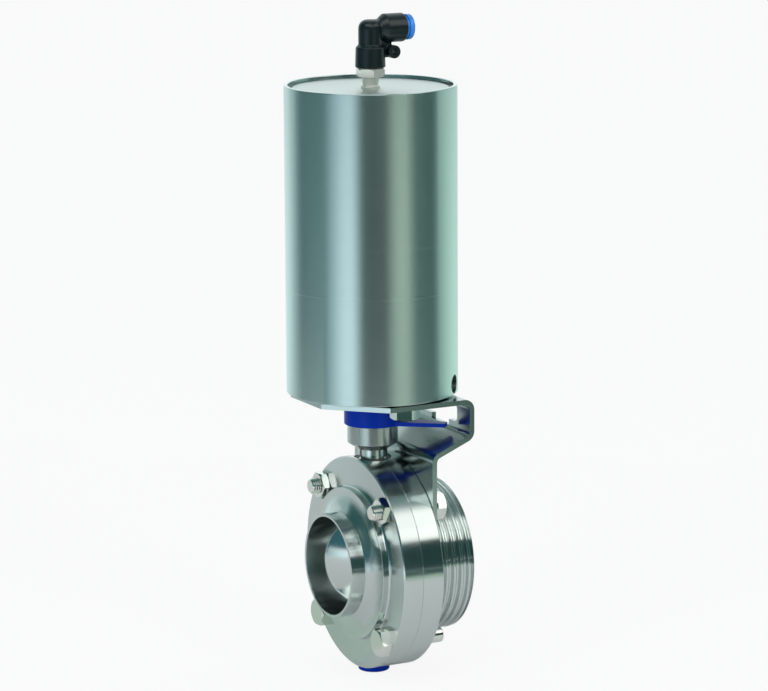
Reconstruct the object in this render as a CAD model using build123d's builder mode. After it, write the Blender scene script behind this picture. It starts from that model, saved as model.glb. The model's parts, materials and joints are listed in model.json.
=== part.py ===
from build123d import *
from math import cos, pi, radians, sin, sqrt, tan
import os

os.makedirs("parts", exist_ok=True)

# A DN 50 sanitary butterfly valve with a spring-return pneumatic actuator, in millimetres.
# The origin is where the pipe axis crosses the stem axis.
# +Z runs up the stem to the actuator, -Y leaves by the weld end, +Y by the threaded end.

# Clearances shared by all pieces
running_gap = 0.08
slip_gap = 0.05
face_gap = 0.3

# Pipe run: weld end 53 x 1.5, round thread of 78 mm with six turns to the inch
bore_d = 50.0
weld_tube_wall = 1.5
weld_tube_length = 8.2
weld_face_y = 25.9
thread_d = 78.0
thread_pitch = 25.4 / 6
thread_depth = 1.9
thread_face_y = 37.9
union_seal_d = 64.0
union_seal_depth = 3.5
union_seal_width = 4.5

# Body halves, clamped face to face at y = 0
flange_d = 108.6
front_flange_t = 10.8
rear_flange_t = 11.6
rim_chamfer = 0.6
hub_d = 77.8
hub_proud = 3.8
hub_root_fillet = 1.2
shoulder_step = 1.0
shoulder_height = 3.4
thread_neck_length = 2.0

# Seat ring between the halves
seat_half_width = 6.5
seat_t = 6.5
seat_rib_t = 2.5
seat_rib_half_width = 2.5

# Disc, stem and bushes; angles are counted from +X, a closed disc stands at 0 degrees
disc_gap = 0.3
disc_rim_t = 3.0
disc_centre_t = 15.0
disc_angle = 60.0
stem_d = 14.0
tang_t = 12.0
tang_height = 10.6
stem_bush_d = 19.0
stem_bush_length = 16.0
stem_bush_sunk = 0.9
trunnion_d = 11.0
trunnion_cover = 7.4
lower_bush_d = 16.0
lower_bush_length = 20.4
lower_bush_proud = 3.1
lower_bush_chamfer = 0.8

# M8 and smaller fasteners
m8_d = 8.0
m8_clearance_d = 8.6
m8_pitch = 1.25
m8_thread_depth = 0.75
m8_head_af = 13.0
m8_head_t = 5.3
m8_nut_t = 4.0
m8_washer_d = 16.0
m8_washer_t = 1.6
hex_corner_drop = 1.0
bolt_edge_distance = 6.8
bolt_angle = 45.0
bracket_bolt_proud = 4.2
body_screw_proud = 9.0
mounting_circle_d = 70.0
mounting_screw_grip = 9.0
m5_d = 5.0
m5_length = 5.0
m5_socket_af = 2.5
m3_d = 3.0
m3_head_d = 5.5
m3_head_t = 3.0
m3_length = 7.0
m3_socket_af = 2.5

# Bracket, bent from one sheet: plate, wall, slope and lower flange
sheet_t = 2.5
bracket_side_inset = 0.75
bracket_front_y = 37.5
bracket_corner = 25.5
plate_height = 31.2
wall_inner_y = 32.9
wall_height = 15.8
slope_angle = 22.7
bracket_foot_drop = 9.6
bend_inner_r = 3.0
bracket_foot_r = 4.0
neck_cutout_gap = 1.5
window_half_width = 29.0
window_drop = 11.6
window_height = 9.1
window_corner_r = 3.0

# Actuator casing and its two ends
casing_d = 86.5
casing_wall = 2.0
casing_length = 155.2
casing_foot_gap = 0.6
casing_edge = 0.4
base_t = 15.5
base_spigot_d = 31.8
base_spigot_t = 2.0
lid_recess = 1.7
lid_shoulder_t = 8.5
lid_rim_gap = 2.05
lid_boss_t = 2.7
snap_ring_t = 2.1
snap_groove_depth = 1.0
snap_ring_opening = 14.0
o_ring_t = 2.4
o_ring_groove_w = 3.0
base_groove_land = 1.2
port_d = 8.8
port_hole_d = 9.4
base_edge = 1.2
port_height = 6.0
port_angle = 45.0
port_depth = 9.0

# Cam shaft: a quarter turn over the whole piston stroke
stroke = 45.0
turn = 90.0
cam_shaft_d = 30.0
journal_d = 20.0
drive_square_af = 12.0
drive_square_length = 17.5
thrust_washer_t = 1.5
axial_play = 0.1
shaft_bush_d = 24.0
circlip_t = 1.2
circlip_groove_depth = 0.8
circlip_d = 25.0
cam_roller_d = 6.7
cam_groove_gap = 0.15
cam_groove_depth = 5.0
cam_shaft_top_margin = 3.5
roller_rest_height = 29.5
roller_pin_d = 4.0
guide_roller_d = 8.0
guide_slot_gap = 0.15
roller_end_gap = 0.3

# Piston, guide sleeve and spring; the rest pose is the pose in the photograph
rest_angle_from_closed = 60.0
piston_rest_height = 81.5
piston_t = 14.0
piston_gap = 0.25
piston_bore_depth = 3.0
piston_dish_d = 52.0
piston_dish_depth = 4.0
skirt_d = 42.0
skirt_below_rollers = 8.0
piston_seal_land = 2.5
guide_band_land = 2.0
guide_band_w = 5.0
guide_band_t = 1.5
sleeve_wall = 4.0
sleeve_foot_ledge = 6.2
sleeve_foot_t = 3.0
sleeve_top_gap = 1.5
spring_wire_d = 5.0
spring_wall_gap = 3.25
spring_turns = 6.0

# Coupling and position indicator
coupling_d = 25.6
coupling_gap = 4.3
coupling_cone_height = 3.4
coupling_height = 12.85
coupling_neck_height = 12.55
coupling_neck_d = 22.0
fork_d = 16.8
fork_gap = 0.7
socket_gap = 0.1
indicator_hub_d = 28.8
indicator_t = 2.0
pointer_past_wall = 3.0
pointer_root_w = 13.4
pointer_tip_w = 4.6
pointer_tip_l = 2.0
pointer_angle = 47.0
pointer_notch_side = 5.5
pointer_notch_gap = 0.5
grub_angle = 150.0
grub_drop = 5.0

# Push-in elbow for an 8 mm air tube, screwed into the lid
tube_d = 8.0
tube_gap = 0.1
stud_thread_d = 9.7
stud_thread_length = 8.5
stud_collar_d = 9.8
stud_collar_t = 1.1
stud_neck_d = 8.2
stud_neck_length = 4.4
stud_hex_af = 13.0
stud_hex_t = 4.3
stud_hex_angle = 15.6
stud_spigot_d = 9.0
stud_spigot_length = 9.0
stud_bore_d = 5.0
swivel_gap = 0.2
elbow_sleeve_d = 15.2
elbow_sleeve_top_d = 14.6
elbow_sleeve_length = 10.0
elbow_shoulder = 1.4
elbow_neck_d = 11.9
elbow_axis_height = 19.1
elbow_corner_r = 4.5
elbow_channel_d = 5.6
branch_d = 14.4
branch_cone_y = 4.4
branch_start_y = 7.6
branch_end_y = 18.1
branch_edge_r = 0.8
tube_stop_y = 7.5
collet_bore_d = 11.6
collet_bore_depth = 6.6
collet_wall = 1.3
collet_flange_d = 12.8
collet_flange_t = 2.7
collet_travel = 1.2
collet_reach_y = 22.3
grip_ring_t = 0.6
tube_seal_t = 1.8
eyelet_d = 6.6
eyelet_hole_d = 3.2
eyelet_half_length = 5.0
eyelet_y = 11.2
eyelet_drop = 11.6
eyelet_web_t = 3.0

# Sizes worked out from the driving ones
bore_r = bore_d / 2
weld_r = bore_r + weld_tube_wall
flange_r = flange_d / 2
hub_r = hub_d / 2
hub_face_y = front_flange_t + hub_proud
shoulder_y = weld_face_y - weld_tube_length
shoulder_r = weld_r + shoulder_step
seat_r = bore_r + seat_t
seat_rib_r = seat_r + seat_rib_t
stem_bush_top_z = flange_r - stem_bush_sunk
stem_bush_bottom_z = stem_bush_top_z - stem_bush_length
tang_top_z = stem_bush_top_z + tang_height
lower_bush_reach_z = flange_r + lower_bush_proud
lower_bush_top_z = lower_bush_reach_z - lower_bush_length
trunnion_end_z = lower_bush_reach_z - trunnion_cover
fork_bottom_z = flange_r + fork_gap
coupling_bottom_z = flange_r + coupling_gap
coupling_cone_z = coupling_bottom_z + coupling_cone_height
coupling_shoulder_z = coupling_bottom_z + coupling_height
coupling_top_z = coupling_shoulder_z + coupling_neck_height
drive_square_bottom_z = coupling_top_z - drive_square_length
grub_z = coupling_shoulder_z - grub_drop
plate_under_z = flange_r + plate_height
wall_foot_z = plate_under_z - wall_height
window_bottom_z = plate_under_z - window_drop
pointer_reach = wall_inner_y + sheet_t + pointer_past_wall
pointer_open_angle = pointer_angle + 90 - disc_angle
pointer_notch_near_x = wall_inner_y / tan(radians(pointer_open_angle)) - pointer_notch_side
pointer_sweep_r = sqrt(pointer_reach**2 + (pointer_tip_w / 2) ** 2)
pointer_notch_far_x = sqrt(pointer_sweep_r**2 - wall_inner_y**2) + pointer_notch_gap
pointer_notch_bottom_z = coupling_shoulder_z - pointer_notch_gap
casing_r = casing_d / 2
casing_inner_r = casing_r - casing_wall
bracket_half_width = casing_r - bracket_side_inset
lid_boss_r = casing_inner_r - lid_rim_gap
spring_mean_r = casing_inner_r - spring_wall_gap - spring_wire_d / 2
plate_top_z = plate_under_z + sheet_t
base_bottom_z = plate_top_z
base_top_z = base_bottom_z + base_t
base_groove_z = base_top_z - base_groove_land - o_ring_groove_w
roller_rest_z = base_top_z + roller_rest_height
piston_under_z = base_top_z + piston_rest_height
piston_bore_top_z = piston_under_z + piston_bore_depth
casing_bottom_z = base_bottom_z + casing_foot_gap
casing_top_z = casing_bottom_z + casing_length
lid_face_z = casing_top_z - lid_recess
lid_shoulder_z = lid_face_z - lid_boss_t
lid_under_z = lid_shoulder_z - lid_shoulder_t
bolt_offset = (flange_r - bolt_edge_distance) * sin(radians(bolt_angle))
bracket_foot_z = bolt_offset - bracket_foot_drop
bolt_places = [(x * bolt_offset, bolt_offset) for x in (-1, 1)]
body_screw_places = [(x * bolt_offset, -bolt_offset) for x in (-1, 1)]
mounting_places = [(x * mounting_circle_d / 2, 0) for x in (-1, 1)]
bracket_rear_y = rear_flange_t + sheet_t
sleeve_inner_r = skirt_d / 2 + face_gap
sleeve_outer_r = sleeve_inner_r + sleeve_wall
sleeve_foot_r = sleeve_outer_r + sleeve_foot_ledge
sleeve_screw_r = sleeve_outer_r + sleeve_foot_ledge / 2
cam_shaft_r = cam_shaft_d / 2
cam_shoulder_z = base_top_z + thrust_washer_t + axial_play
stroke_down = stroke * (turn - rest_angle_from_closed) / turn
stroke_up = stroke - stroke_down
piston_r = casing_inner_r - piston_gap
elbow_base_z = lid_face_z + stud_collar_t + stud_neck_length + stud_hex_t + swivel_gap
elbow_axis_z = elbow_base_z + elbow_axis_height


def turned_plane(angle, z=0.0):
    """A horizontal plane at height z whose x axis points at the angle from +X."""
    return Plane(origin=(0, 0, z), x_dir=(cos(radians(angle)), sin(radians(angle)), 0), z_dir=(0, 0, 1))


def facing_plane(angle, distance, z):
    """A plane at a distance from the Z axis, facing outwards at the angle from +X."""
    out = Vector(cos(radians(angle)), sin(radians(angle)), 0)
    return Plane(origin=out * distance + Vector(0, 0, z), x_dir=(0, 0, 1), z_dir=out)


def ring(plane, outer_r, inner_r, height):
    """Add a plain ring standing on the plane."""
    with BuildSketch(plane) as outline:
        Circle(outer_r)
        Circle(inner_r, mode=Mode.SUBTRACT)
    extrude(outline.sketch, amount=height)


def o_ring(centre_r, section_d, plane):
    """Add an O-ring whose section centres lie on a circle in the plane."""
    side = Plane(origin=plane.origin + plane.x_dir * centre_r, x_dir=plane.x_dir, z_dir=plane.y_dir)
    with BuildSketch(side) as section:
        Circle(section_d / 2)
    revolve(section.sketch, axis=Axis(plane.origin, plane.z_dir))


def hexagon(plane, across_flats, height, drop, both_ends=False):
    """Add a hexagon standing on the plane, with its corners turned off at the far end."""
    with BuildSketch(plane) as outline:
        RegularPolygon(across_flats / 2, 6, major_radius=False)
    corner_r = across_flats / sqrt(3)
    turned_r = across_flats / 2 * 0.96
    near_end = [(turned_r, 0), (corner_r, drop)] if both_ends else [(corner_r, 0)]
    side = Plane(origin=plane.origin, x_dir=plane.x_dir, z_dir=-plane.y_dir)
    with BuildSketch(side) as turned:
        with BuildLine():
            Polyline((0, 0), *near_end, (corner_r, height - drop), (turned_r, height), (0, height), close=True)
        make_face()
    extrude(outline.sketch, amount=height)
    revolve(turned.sketch, axis=Axis(plane.origin, plane.z_dir), mode=Mode.INTERSECT)


def ridged_rod(plane, diameter, plain, ridged, pitch, depth):
    """Add a rod: a plain length, then a ridged length that stands for its thread."""
    radius = diameter / 2
    side = Plane(origin=plane.origin, x_dir=plane.x_dir, z_dir=-plane.y_dir)
    points = [(0, 0), (radius, 0), (radius, plain)]
    turns = int(ridged / pitch)
    for i in range(turns):
        points.append((radius - depth, plain + (i + 0.5) * pitch))
        points.append((radius, plain + (i + 1) * pitch))
    points += [(radius - depth, plain + ridged + depth / 2), (0, plain + ridged + depth / 2)]
    with BuildSketch(side) as outline:
        with BuildLine():
            Polyline(*points, close=True)
        make_face()
    revolve(outline.sketch, axis=Axis(plane.origin, plane.z_dir))


# Front half of the body, with the weld end
with BuildPart() as body_front:
    with BuildSketch(Plane.XY) as front_section:
        with BuildLine():
            Polyline(
                (seat_rib_r, 0),
                (flange_r, 0),
                (flange_r, rim_chamfer - front_flange_t),
                (flange_r - rim_chamfer, -front_flange_t),
                (hub_r + hub_root_fillet, -front_flange_t),
            )
            RadiusArc(
                (hub_r + hub_root_fillet, -front_flange_t),
                (hub_r, -front_flange_t - hub_root_fillet),
                -hub_root_fillet,
            )
            Line((hub_r, -front_flange_t - hub_root_fillet), (hub_r, -hub_face_y))
            ThreePointArc(
                (hub_r, -hub_face_y),
                (shoulder_r + 0.42 * (hub_r - shoulder_r), -hub_face_y - 0.14 * shoulder_height),
                (shoulder_r, -shoulder_y),
            )
            Polyline(
                (shoulder_r, -shoulder_y),
                (weld_r, -shoulder_y - 0.6),
                (weld_r, -weld_face_y),
                (bore_r, -weld_face_y),
                (bore_r, -seat_half_width),
                (seat_r, -seat_half_width),
                (seat_r, -seat_rib_half_width),
                (seat_rib_r, -seat_rib_half_width),
                (seat_rib_r, 0),
            )
        make_face()
    revolve(axis=Axis.Y)
    with BuildSketch(Plane.XY) as upper_bush_hole:
        Circle(stem_bush_d / 2)
    extrude(amount=flange_r, mode=Mode.SUBTRACT)
    with BuildSketch(Plane.XY) as lower_bush_hole:
        Circle(lower_bush_d / 2)
    extrude(amount=-flange_r, mode=Mode.SUBTRACT)
    with BuildSketch(Plane.XZ) as front_bolt_holes:
        with Locations(*bolt_places, *body_screw_places):
            Circle(m8_clearance_d / 2)
    extrude(amount=front_flange_t, mode=Mode.SUBTRACT)
body_front.part.label = "body_front"
export_step(body_front.part, "parts/body_front.step")

# Rear half of the body, with the round thread
with BuildPart() as body_rear:
    thread_start_y = rear_flange_t + thread_neck_length
    turn_count = int((thread_face_y - thread_start_y) / thread_pitch)
    thread_end_y = thread_start_y + turn_count * thread_pitch
    middle_r = (thread_d - thread_depth) / 2
    root_r = thread_d / 2 - thread_depth
    with BuildSketch(Plane.XY) as rear_section:
        with BuildLine():
            Polyline(
                (seat_rib_r, 0),
                (flange_r, 0),
                (flange_r, rear_flange_t - rim_chamfer),
                (flange_r - rim_chamfer, rear_flange_t),
                (root_r, rear_flange_t),
                (root_r, thread_start_y),
                (middle_r, thread_start_y),
            )
            for i in range(turn_count):
                start = thread_start_y + i * thread_pitch
                ThreePointArc(
                    (middle_r, start),
                    (thread_d / 2, start + thread_pitch / 4),
                    (middle_r, start + thread_pitch / 2),
                )
                ThreePointArc(
                    (middle_r, start + thread_pitch / 2),
                    (root_r, start + thread_pitch * 3 / 4),
                    (middle_r, start + thread_pitch),
                )
            Polyline(
                (middle_r, thread_end_y),
                (thread_d / 2 - 0.3, thread_end_y + 0.5),
                (thread_d / 2 - 0.3, thread_face_y - 1),
                (thread_d / 2 - 1.3, thread_face_y),
                (union_seal_d / 2, thread_face_y),
                (union_seal_d / 2, thread_face_y - union_seal_depth),
                (union_seal_d / 2 - union_seal_width, thread_face_y - union_seal_depth),
                (union_seal_d / 2 - union_seal_width, thread_face_y - union_seal_depth / 2),
                (bore_r, thread_face_y - union_seal_depth / 2),
                (bore_r, seat_half_width),
                (seat_r, seat_half_width),
                (seat_r, seat_rib_half_width),
                (seat_rib_r, seat_rib_half_width),
                (seat_rib_r, 0),
            )
        make_face()
    revolve(axis=Axis.Y)
    with BuildSketch(Plane.XY):
        Circle(stem_bush_d / 2)
    extrude(amount=flange_r, mode=Mode.SUBTRACT)
    with BuildSketch(Plane.XY):
        Circle(lower_bush_d / 2)
    extrude(amount=-flange_r, mode=Mode.SUBTRACT)
    with BuildSketch(Plane.XZ) as rear_clear_holes:
        with Locations(*bolt_places):
            Circle(m8_clearance_d / 2)
    extrude(amount=-rear_flange_t, mode=Mode.SUBTRACT)
    with BuildSketch(Plane.XZ) as rear_tapped_holes:
        with Locations(*body_screw_places):
            Circle(m8_d / 2 + slip_gap)
    extrude(amount=-rear_flange_t, mode=Mode.SUBTRACT)
body_rear.part.label = "body_rear"
export_step(body_rear.part, "parts/body_rear.step")

# Rubber seat ring with a locating rib, pierced for the stem above and the trunnion below
with BuildPart() as seat_ring:
    with BuildSketch(Plane.XY):
        with BuildLine():
            Polyline(
                (bore_r, -seat_half_width),
                (seat_r, -seat_half_width),
                (seat_r, -seat_rib_half_width),
                (seat_rib_r, -seat_rib_half_width),
                (seat_rib_r, seat_rib_half_width),
                (seat_r, seat_rib_half_width),
                (seat_r, seat_half_width),
                (bore_r, seat_half_width),
                close=True,
            )
        make_face()
    revolve(axis=Axis.Y)
    with BuildSketch(Plane.XY):
        Circle(stem_d / 2 + running_gap)
    extrude(amount=2 * seat_rib_r, mode=Mode.SUBTRACT)
    with BuildSketch(Plane.XY):
        Circle(trunnion_d / 2 + running_gap)
    extrude(amount=-2 * seat_rib_r, mode=Mode.SUBTRACT)
seat_ring.part.label = "seat_ring"
export_step(seat_ring.part, "parts/seat_ring.step")

# Disc with a crowned face each side, its stem above and its trunnion below
disc_r = bore_r - disc_gap
with BuildPart() as disc:
    with BuildSketch(turned_plane(disc_angle)) as half_lens:
        with BuildLine():
            upper = TangentArc((0, disc_centre_t / 2), (disc_r, disc_rim_t / 2), tangent=(1, 0))
            Line((disc_r, disc_rim_t / 2), (disc_r, -disc_rim_t / 2))
            lower = TangentArc((0, -disc_centre_t / 2), (disc_r, -disc_rim_t / 2), tangent=(1, 0))
            Line((0, -disc_centre_t / 2), (0, disc_centre_t / 2))
        make_face()
    disc_normal = (-sin(radians(disc_angle)), cos(radians(disc_angle)), 0)
    revolve(axis=Axis((0, 0, 0), disc_normal))
    with BuildSketch(Plane.XY) as stem_round:
        Circle(stem_d / 2)
    extrude(amount=stem_bush_top_z)
    with BuildSketch(Plane.XY) as trunnion_round:
        Circle(trunnion_d / 2)
    extrude(amount=-trunnion_end_z)
    with BuildSketch(turned_plane(disc_angle, stem_bush_top_z)) as tang:
        Circle(stem_d / 2)
        Rectangle(tang_t, stem_d, mode=Mode.INTERSECT)
    extrude(amount=tang_top_z - stem_bush_top_z)
disc.part.label = "disc"
export_step(disc.part, "parts/disc.step")

# Upper stem bush in the split bore of the halves
with BuildPart() as upper_stem_bush:
    ring(
        Plane.XY.offset(stem_bush_bottom_z),
        stem_bush_d / 2,
        stem_d / 2 + running_gap,
        stem_bush_top_z - stem_bush_bottom_z,
    )
    chamfer(upper_stem_bush.edges().group_by(Axis.Z)[-1], 0.5)
upper_stem_bush.part.label = "upper_stem_bush"
export_step(upper_stem_bush.part, "parts/upper_stem_bush.step")

# O-ring under the upper bush
stem_seal_t = stem_bush_d / 2 - stem_d / 2 - running_gap
with BuildPart() as stem_seal:
    o_ring((stem_bush_d - stem_seal_t) / 2, stem_seal_t, Plane.XY.offset(stem_bush_bottom_z - stem_seal_t / 2))
stem_seal.part.label = "stem_seal"
export_step(stem_seal.part, "parts/stem_seal.step")

# Lower stem bush, a closed cap that carries the trunnion and shows below the rim
with BuildPart() as lower_stem_bush:
    with BuildSketch(Plane.XY.offset(-lower_bush_reach_z)):
        Circle(lower_bush_d / 2)
    extrude(amount=lower_bush_reach_z - lower_bush_top_z)
    chamfer(lower_stem_bush.edges().group_by(Axis.Z)[0], lower_bush_chamfer)
    with BuildSketch(Plane.XY.offset(-lower_bush_top_z)):
        Circle(trunnion_d / 2 + running_gap)
    extrude(amount=-(trunnion_end_z + face_gap - lower_bush_top_z), mode=Mode.SUBTRACT)
lower_stem_bush.part.label = "lower_stem_bush"
export_step(lower_stem_bush.part, "parts/lower_stem_bush.step")

# Bracket from one bent sheet
wall_mid_y = wall_inner_y + sheet_t / 2
slope_drop = tan(radians(slope_angle))
slope_mid_z = wall_foot_z + sheet_t / 2 * slope_drop - sheet_t / 2 / cos(radians(slope_angle))
flange_mid_y = rear_flange_t + sheet_t / 2
with BuildPart() as bracket:
    with BuildSketch(Plane.YZ) as sheet_section:
        with BuildLine() as sheet_middle:
            FilletPolyline(
                (-bracket_front_y, plate_under_z + sheet_t / 2),
                (wall_mid_y, plate_under_z + sheet_t / 2),
                (wall_mid_y, slope_mid_z),
                (flange_mid_y, slope_mid_z - (wall_mid_y - flange_mid_y) * slope_drop),
                (flange_mid_y, bracket_foot_z),
                radius=bend_inner_r + sheet_t / 2,
            )
        trace(sheet_middle.line, line_width=sheet_t)
    extrude(amount=bracket_half_width, both=True)
    front_corners = bracket.edges().filter_by(Axis.Z).group_by(Axis.Y)[0]
    chamfer(front_corners, bracket_corner)
    with BuildSketch(Plane.XZ.offset(-wall_inner_y)) as wall_window:
        with Locations((0, window_bottom_z + window_height / 2)):
            RectangleRounded(2 * window_half_width, window_height, window_corner_r)
    extrude(amount=-2 * sheet_t, mode=Mode.SUBTRACT)
    # The pointer swings through this notch in the lower edge of the window
    with BuildSketch(Plane.XZ.offset(-wall_inner_y + sheet_t)) as pointer_notch:
        with BuildLine():
            Polyline(
                (pointer_notch_near_x, window_bottom_z + window_corner_r),
                (pointer_notch_near_x, pointer_notch_bottom_z),
                (pointer_notch_far_x, pointer_notch_bottom_z),
                (pointer_notch_far_x, window_bottom_z + window_corner_r),
                close=True,
            )
        make_face()
    extrude(amount=-3 * sheet_t, mode=Mode.SUBTRACT)
    with BuildSketch(Plane.XZ.offset(-rear_flange_t)) as flange_holes:
        with Locations(*bolt_places):
            Circle(m8_clearance_d / 2)
        Circle(thread_d / 2 + neck_cutout_gap)
    extrude(amount=-sheet_t, mode=Mode.SUBTRACT)
    with BuildSketch(Plane.XY.offset(plate_under_z)) as plate_holes:
        Circle(base_spigot_d / 2 + running_gap)
        with Locations(*mounting_places):
            Circle(m8_clearance_d / 2)
    extrude(amount=sheet_t, mode=Mode.SUBTRACT)
    foot_corners = bracket.edges().filter_by(Axis.Y).group_by(Axis.Z)[0].group_by(SortBy.DISTANCE)[-1]
    fillet(foot_corners, bracket_foot_r)
bracket.part.label = "bracket"
export_step(bracket.part, "parts/bracket.step")

# Upper bolts: heads behind the bracket, thread ends in front of the nuts
bracket_bolt_plain = m8_washer_t + sheet_t + rear_flange_t + front_flange_t
with BuildPart() as bracket_bolt:
    head_seat_y = bracket_rear_y + m8_washer_t
    head_plane = Plane(origin=(0, head_seat_y, 0), x_dir=(1, 0, 0), z_dir=(0, 1, 0))
    hexagon(head_plane, m8_head_af, m8_head_t, hex_corner_drop)
    ridged_rod(
        Plane.XZ.offset(-head_seat_y),
        m8_d,
        bracket_bolt_plain + m8_nut_t - m8_pitch,
        bracket_bolt_proud + m8_pitch,
        m8_pitch,
        m8_thread_depth,
    )
with BuildPart() as bracket_bolts:
    with Locations(*[(x, 0, z) for x, z in bolt_places]):
        add(bracket_bolt.part)
bracket_bolts.part.label = "bracket_bolts"
export_step(bracket_bolts.part, "parts/bracket_bolts.step")

# Plain washers under those heads
with BuildPart() as bracket_washers:
    for x, z in bolt_places:
        washer_plane = Plane(origin=(x, bracket_rear_y, z), x_dir=(1, 0, 0), z_dir=(0, 1, 0))
        ring(washer_plane, m8_washer_d / 2, m8_d / 2 + slip_gap, m8_washer_t)
bracket_washers.part.label = "bracket_washers"
export_step(bracket_washers.part, "parts/bracket_washers.step")

# Thin nuts on the front flange
with BuildPart() as bracket_nut:
    hexagon(Plane.XZ.offset(front_flange_t), m8_head_af, m8_nut_t, hex_corner_drop, both_ends=True)
    with BuildSketch(Plane.XZ.offset(front_flange_t)):
        Circle(m8_d / 2 + slip_gap)
    extrude(amount=m8_nut_t, mode=Mode.SUBTRACT)
with BuildPart() as bracket_nuts:
    with Locations(*[(x, 0, z) for x, z in bolt_places]):
        add(bracket_nut.part)
bracket_nuts.part.label = "bracket_nuts"
export_step(bracket_nuts.part, "parts/bracket_nuts.step")

# Lower screws: heads in front, tapped into the rear half
with BuildPart() as body_screw:
    hexagon(Plane.XZ.offset(front_flange_t), m8_head_af, m8_head_t, hex_corner_drop)
    with BuildSketch(Plane.XZ.offset(front_flange_t)):
        Circle(m8_d / 2)
    extrude(amount=-(front_flange_t + rear_flange_t + body_screw_proud))
    chamfer(body_screw.edges().group_by(Axis.Y)[-1], 0.8)
with BuildPart() as body_screws:
    with Locations(*[(x, 0, z) for x, z in body_screw_places]):
        add(body_screw.part)
body_screws.part.label = "body_screws"
export_step(body_screws.part, "parts/body_screws.step")

# Screws that hold the actuator on the bracket plate
with BuildPart() as mounting_screw:
    head_plane = Plane(origin=(0, 0, plate_under_z), x_dir=(1, 0, 0), z_dir=(0, 0, -1))
    hexagon(head_plane, m8_head_af, m8_head_t, hex_corner_drop)
    with BuildSketch(Plane.XY.offset(plate_under_z)):
        Circle(m8_d / 2)
    extrude(amount=sheet_t + mounting_screw_grip)
with BuildPart() as mounting_screws:
    with Locations(*mounting_places):
        add(mounting_screw.part)
mounting_screws.part.label = "mounting_screws"
export_step(mounting_screws.part, "parts/mounting_screws.step")

# Stem coupling: a fork over the tang below, a square socket for the cam shaft above
with BuildPart() as stem_coupling:
    with BuildSketch(Plane.XZ) as coupling_section:
        with BuildLine():
            Polyline(
                (0, fork_bottom_z),
                (fork_d / 2, fork_bottom_z),
                (fork_d / 2, coupling_bottom_z),
                (coupling_d / 2, coupling_cone_z),
                (coupling_d / 2, coupling_shoulder_z),
                (coupling_neck_d / 2, coupling_shoulder_z),
                (coupling_neck_d / 2, coupling_top_z),
                (0, coupling_top_z),
                close=True,
            )
        make_face()
    revolve(axis=Axis.Z)
    with BuildSketch(turned_plane(disc_angle, fork_bottom_z)) as fork_slot:
        Rectangle(tang_t + 2 * socket_gap, fork_d)
    extrude(amount=coupling_bottom_z - fork_bottom_z, mode=Mode.SUBTRACT)
    with BuildSketch(turned_plane(disc_angle, coupling_bottom_z)) as tang_socket:
        Circle(stem_d / 2 + socket_gap)
        Rectangle(tang_t + 2 * socket_gap, stem_d + 2 * socket_gap, mode=Mode.INTERSECT)
    extrude(amount=tang_top_z + socket_gap - coupling_bottom_z, mode=Mode.SUBTRACT)
    with BuildSketch(turned_plane(disc_angle, coupling_top_z)) as square_socket:
        Rectangle(drive_square_af + 2 * socket_gap, drive_square_af + 2 * socket_gap)
    extrude(amount=-(coupling_top_z - drive_square_bottom_z + socket_gap), mode=Mode.SUBTRACT)
    with BuildSketch(facing_plane(grub_angle, coupling_d / 2, grub_z + 1.5)) as grub_hole:
        Circle(m5_d / 2 + slip_gap)
    extrude(amount=-(coupling_d / 2 - drive_square_af / 2), mode=Mode.SUBTRACT)
stem_coupling.part.label = "stem_coupling"
export_step(stem_coupling.part, "parts/stem_coupling.step")

# Grub screw that locks the coupling on the square
with BuildPart() as coupling_grub_screw:
    with BuildSketch(facing_plane(grub_angle, drive_square_af / 2 + socket_gap, grub_z + 1.5)):
        Circle(m5_d / 2)
    extrude(amount=m5_length)
    with BuildSketch(facing_plane(grub_angle, drive_square_af / 2 + socket_gap + m5_length, grub_z + 1.5)):
        RegularPolygon(m5_socket_af / 2, 6, major_radius=False)
    extrude(amount=-m5_length / 2, mode=Mode.SUBTRACT)
coupling_grub_screw.part.label = "coupling_grub_screw"
export_step(coupling_grub_screw.part, "parts/coupling_grub_screw.step")

# Position indicator: a hub on the coupling's neck with a tapered pointer
with BuildPart() as position_indicator:
    with BuildSketch(turned_plane(pointer_angle, coupling_shoulder_z)) as pointer_outline:
        with BuildLine():
            Polyline(
                (0, -pointer_root_w / 2),
                (pointer_reach - pointer_tip_l, -pointer_tip_w / 2),
                (pointer_reach, -pointer_tip_w / 2),
                (pointer_reach, pointer_tip_w / 2),
                (pointer_reach - pointer_tip_l, pointer_tip_w / 2),
                (0, pointer_root_w / 2),
                close=True,
            )
        make_face()
    extrude(amount=indicator_t)
    with BuildSketch(Plane.XY.offset(coupling_shoulder_z)) as indicator_hub:
        Circle(indicator_hub_d / 2)
    extrude(amount=coupling_top_z - coupling_shoulder_z)
    with BuildSketch(Plane.XY.offset(coupling_shoulder_z)) as indicator_bore:
        Circle(coupling_neck_d / 2 + slip_gap)
    extrude(amount=coupling_top_z - coupling_shoulder_z, mode=Mode.SUBTRACT)
position_indicator.part.label = "position_indicator"
export_step(position_indicator.part, "parts/position_indicator.step")

# Actuator casing, a plain tube with a snap-ring groove and the breather hole
with BuildPart() as casing:
    ring(Plane.XY.offset(casing_bottom_z), casing_r, casing_inner_r, casing_length)
    chamfer(casing.edges().group_by(Axis.Z)[-1], casing_edge)
    with BuildSketch(Plane.XY.offset(lid_shoulder_z)) as snap_groove:
        Circle(casing_inner_r + snap_groove_depth)
        Circle(casing_inner_r, mode=Mode.SUBTRACT)
    extrude(amount=snap_ring_t + slip_gap, mode=Mode.SUBTRACT)
    with BuildSketch(facing_plane(port_angle, casing_r + casing_wall, base_bottom_z + port_height)):
        Circle(port_hole_d / 2)
    extrude(amount=-3 * casing_wall, mode=Mode.SUBTRACT)
casing.part.label = "casing"
export_step(casing.part, "parts/casing.step")

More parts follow.
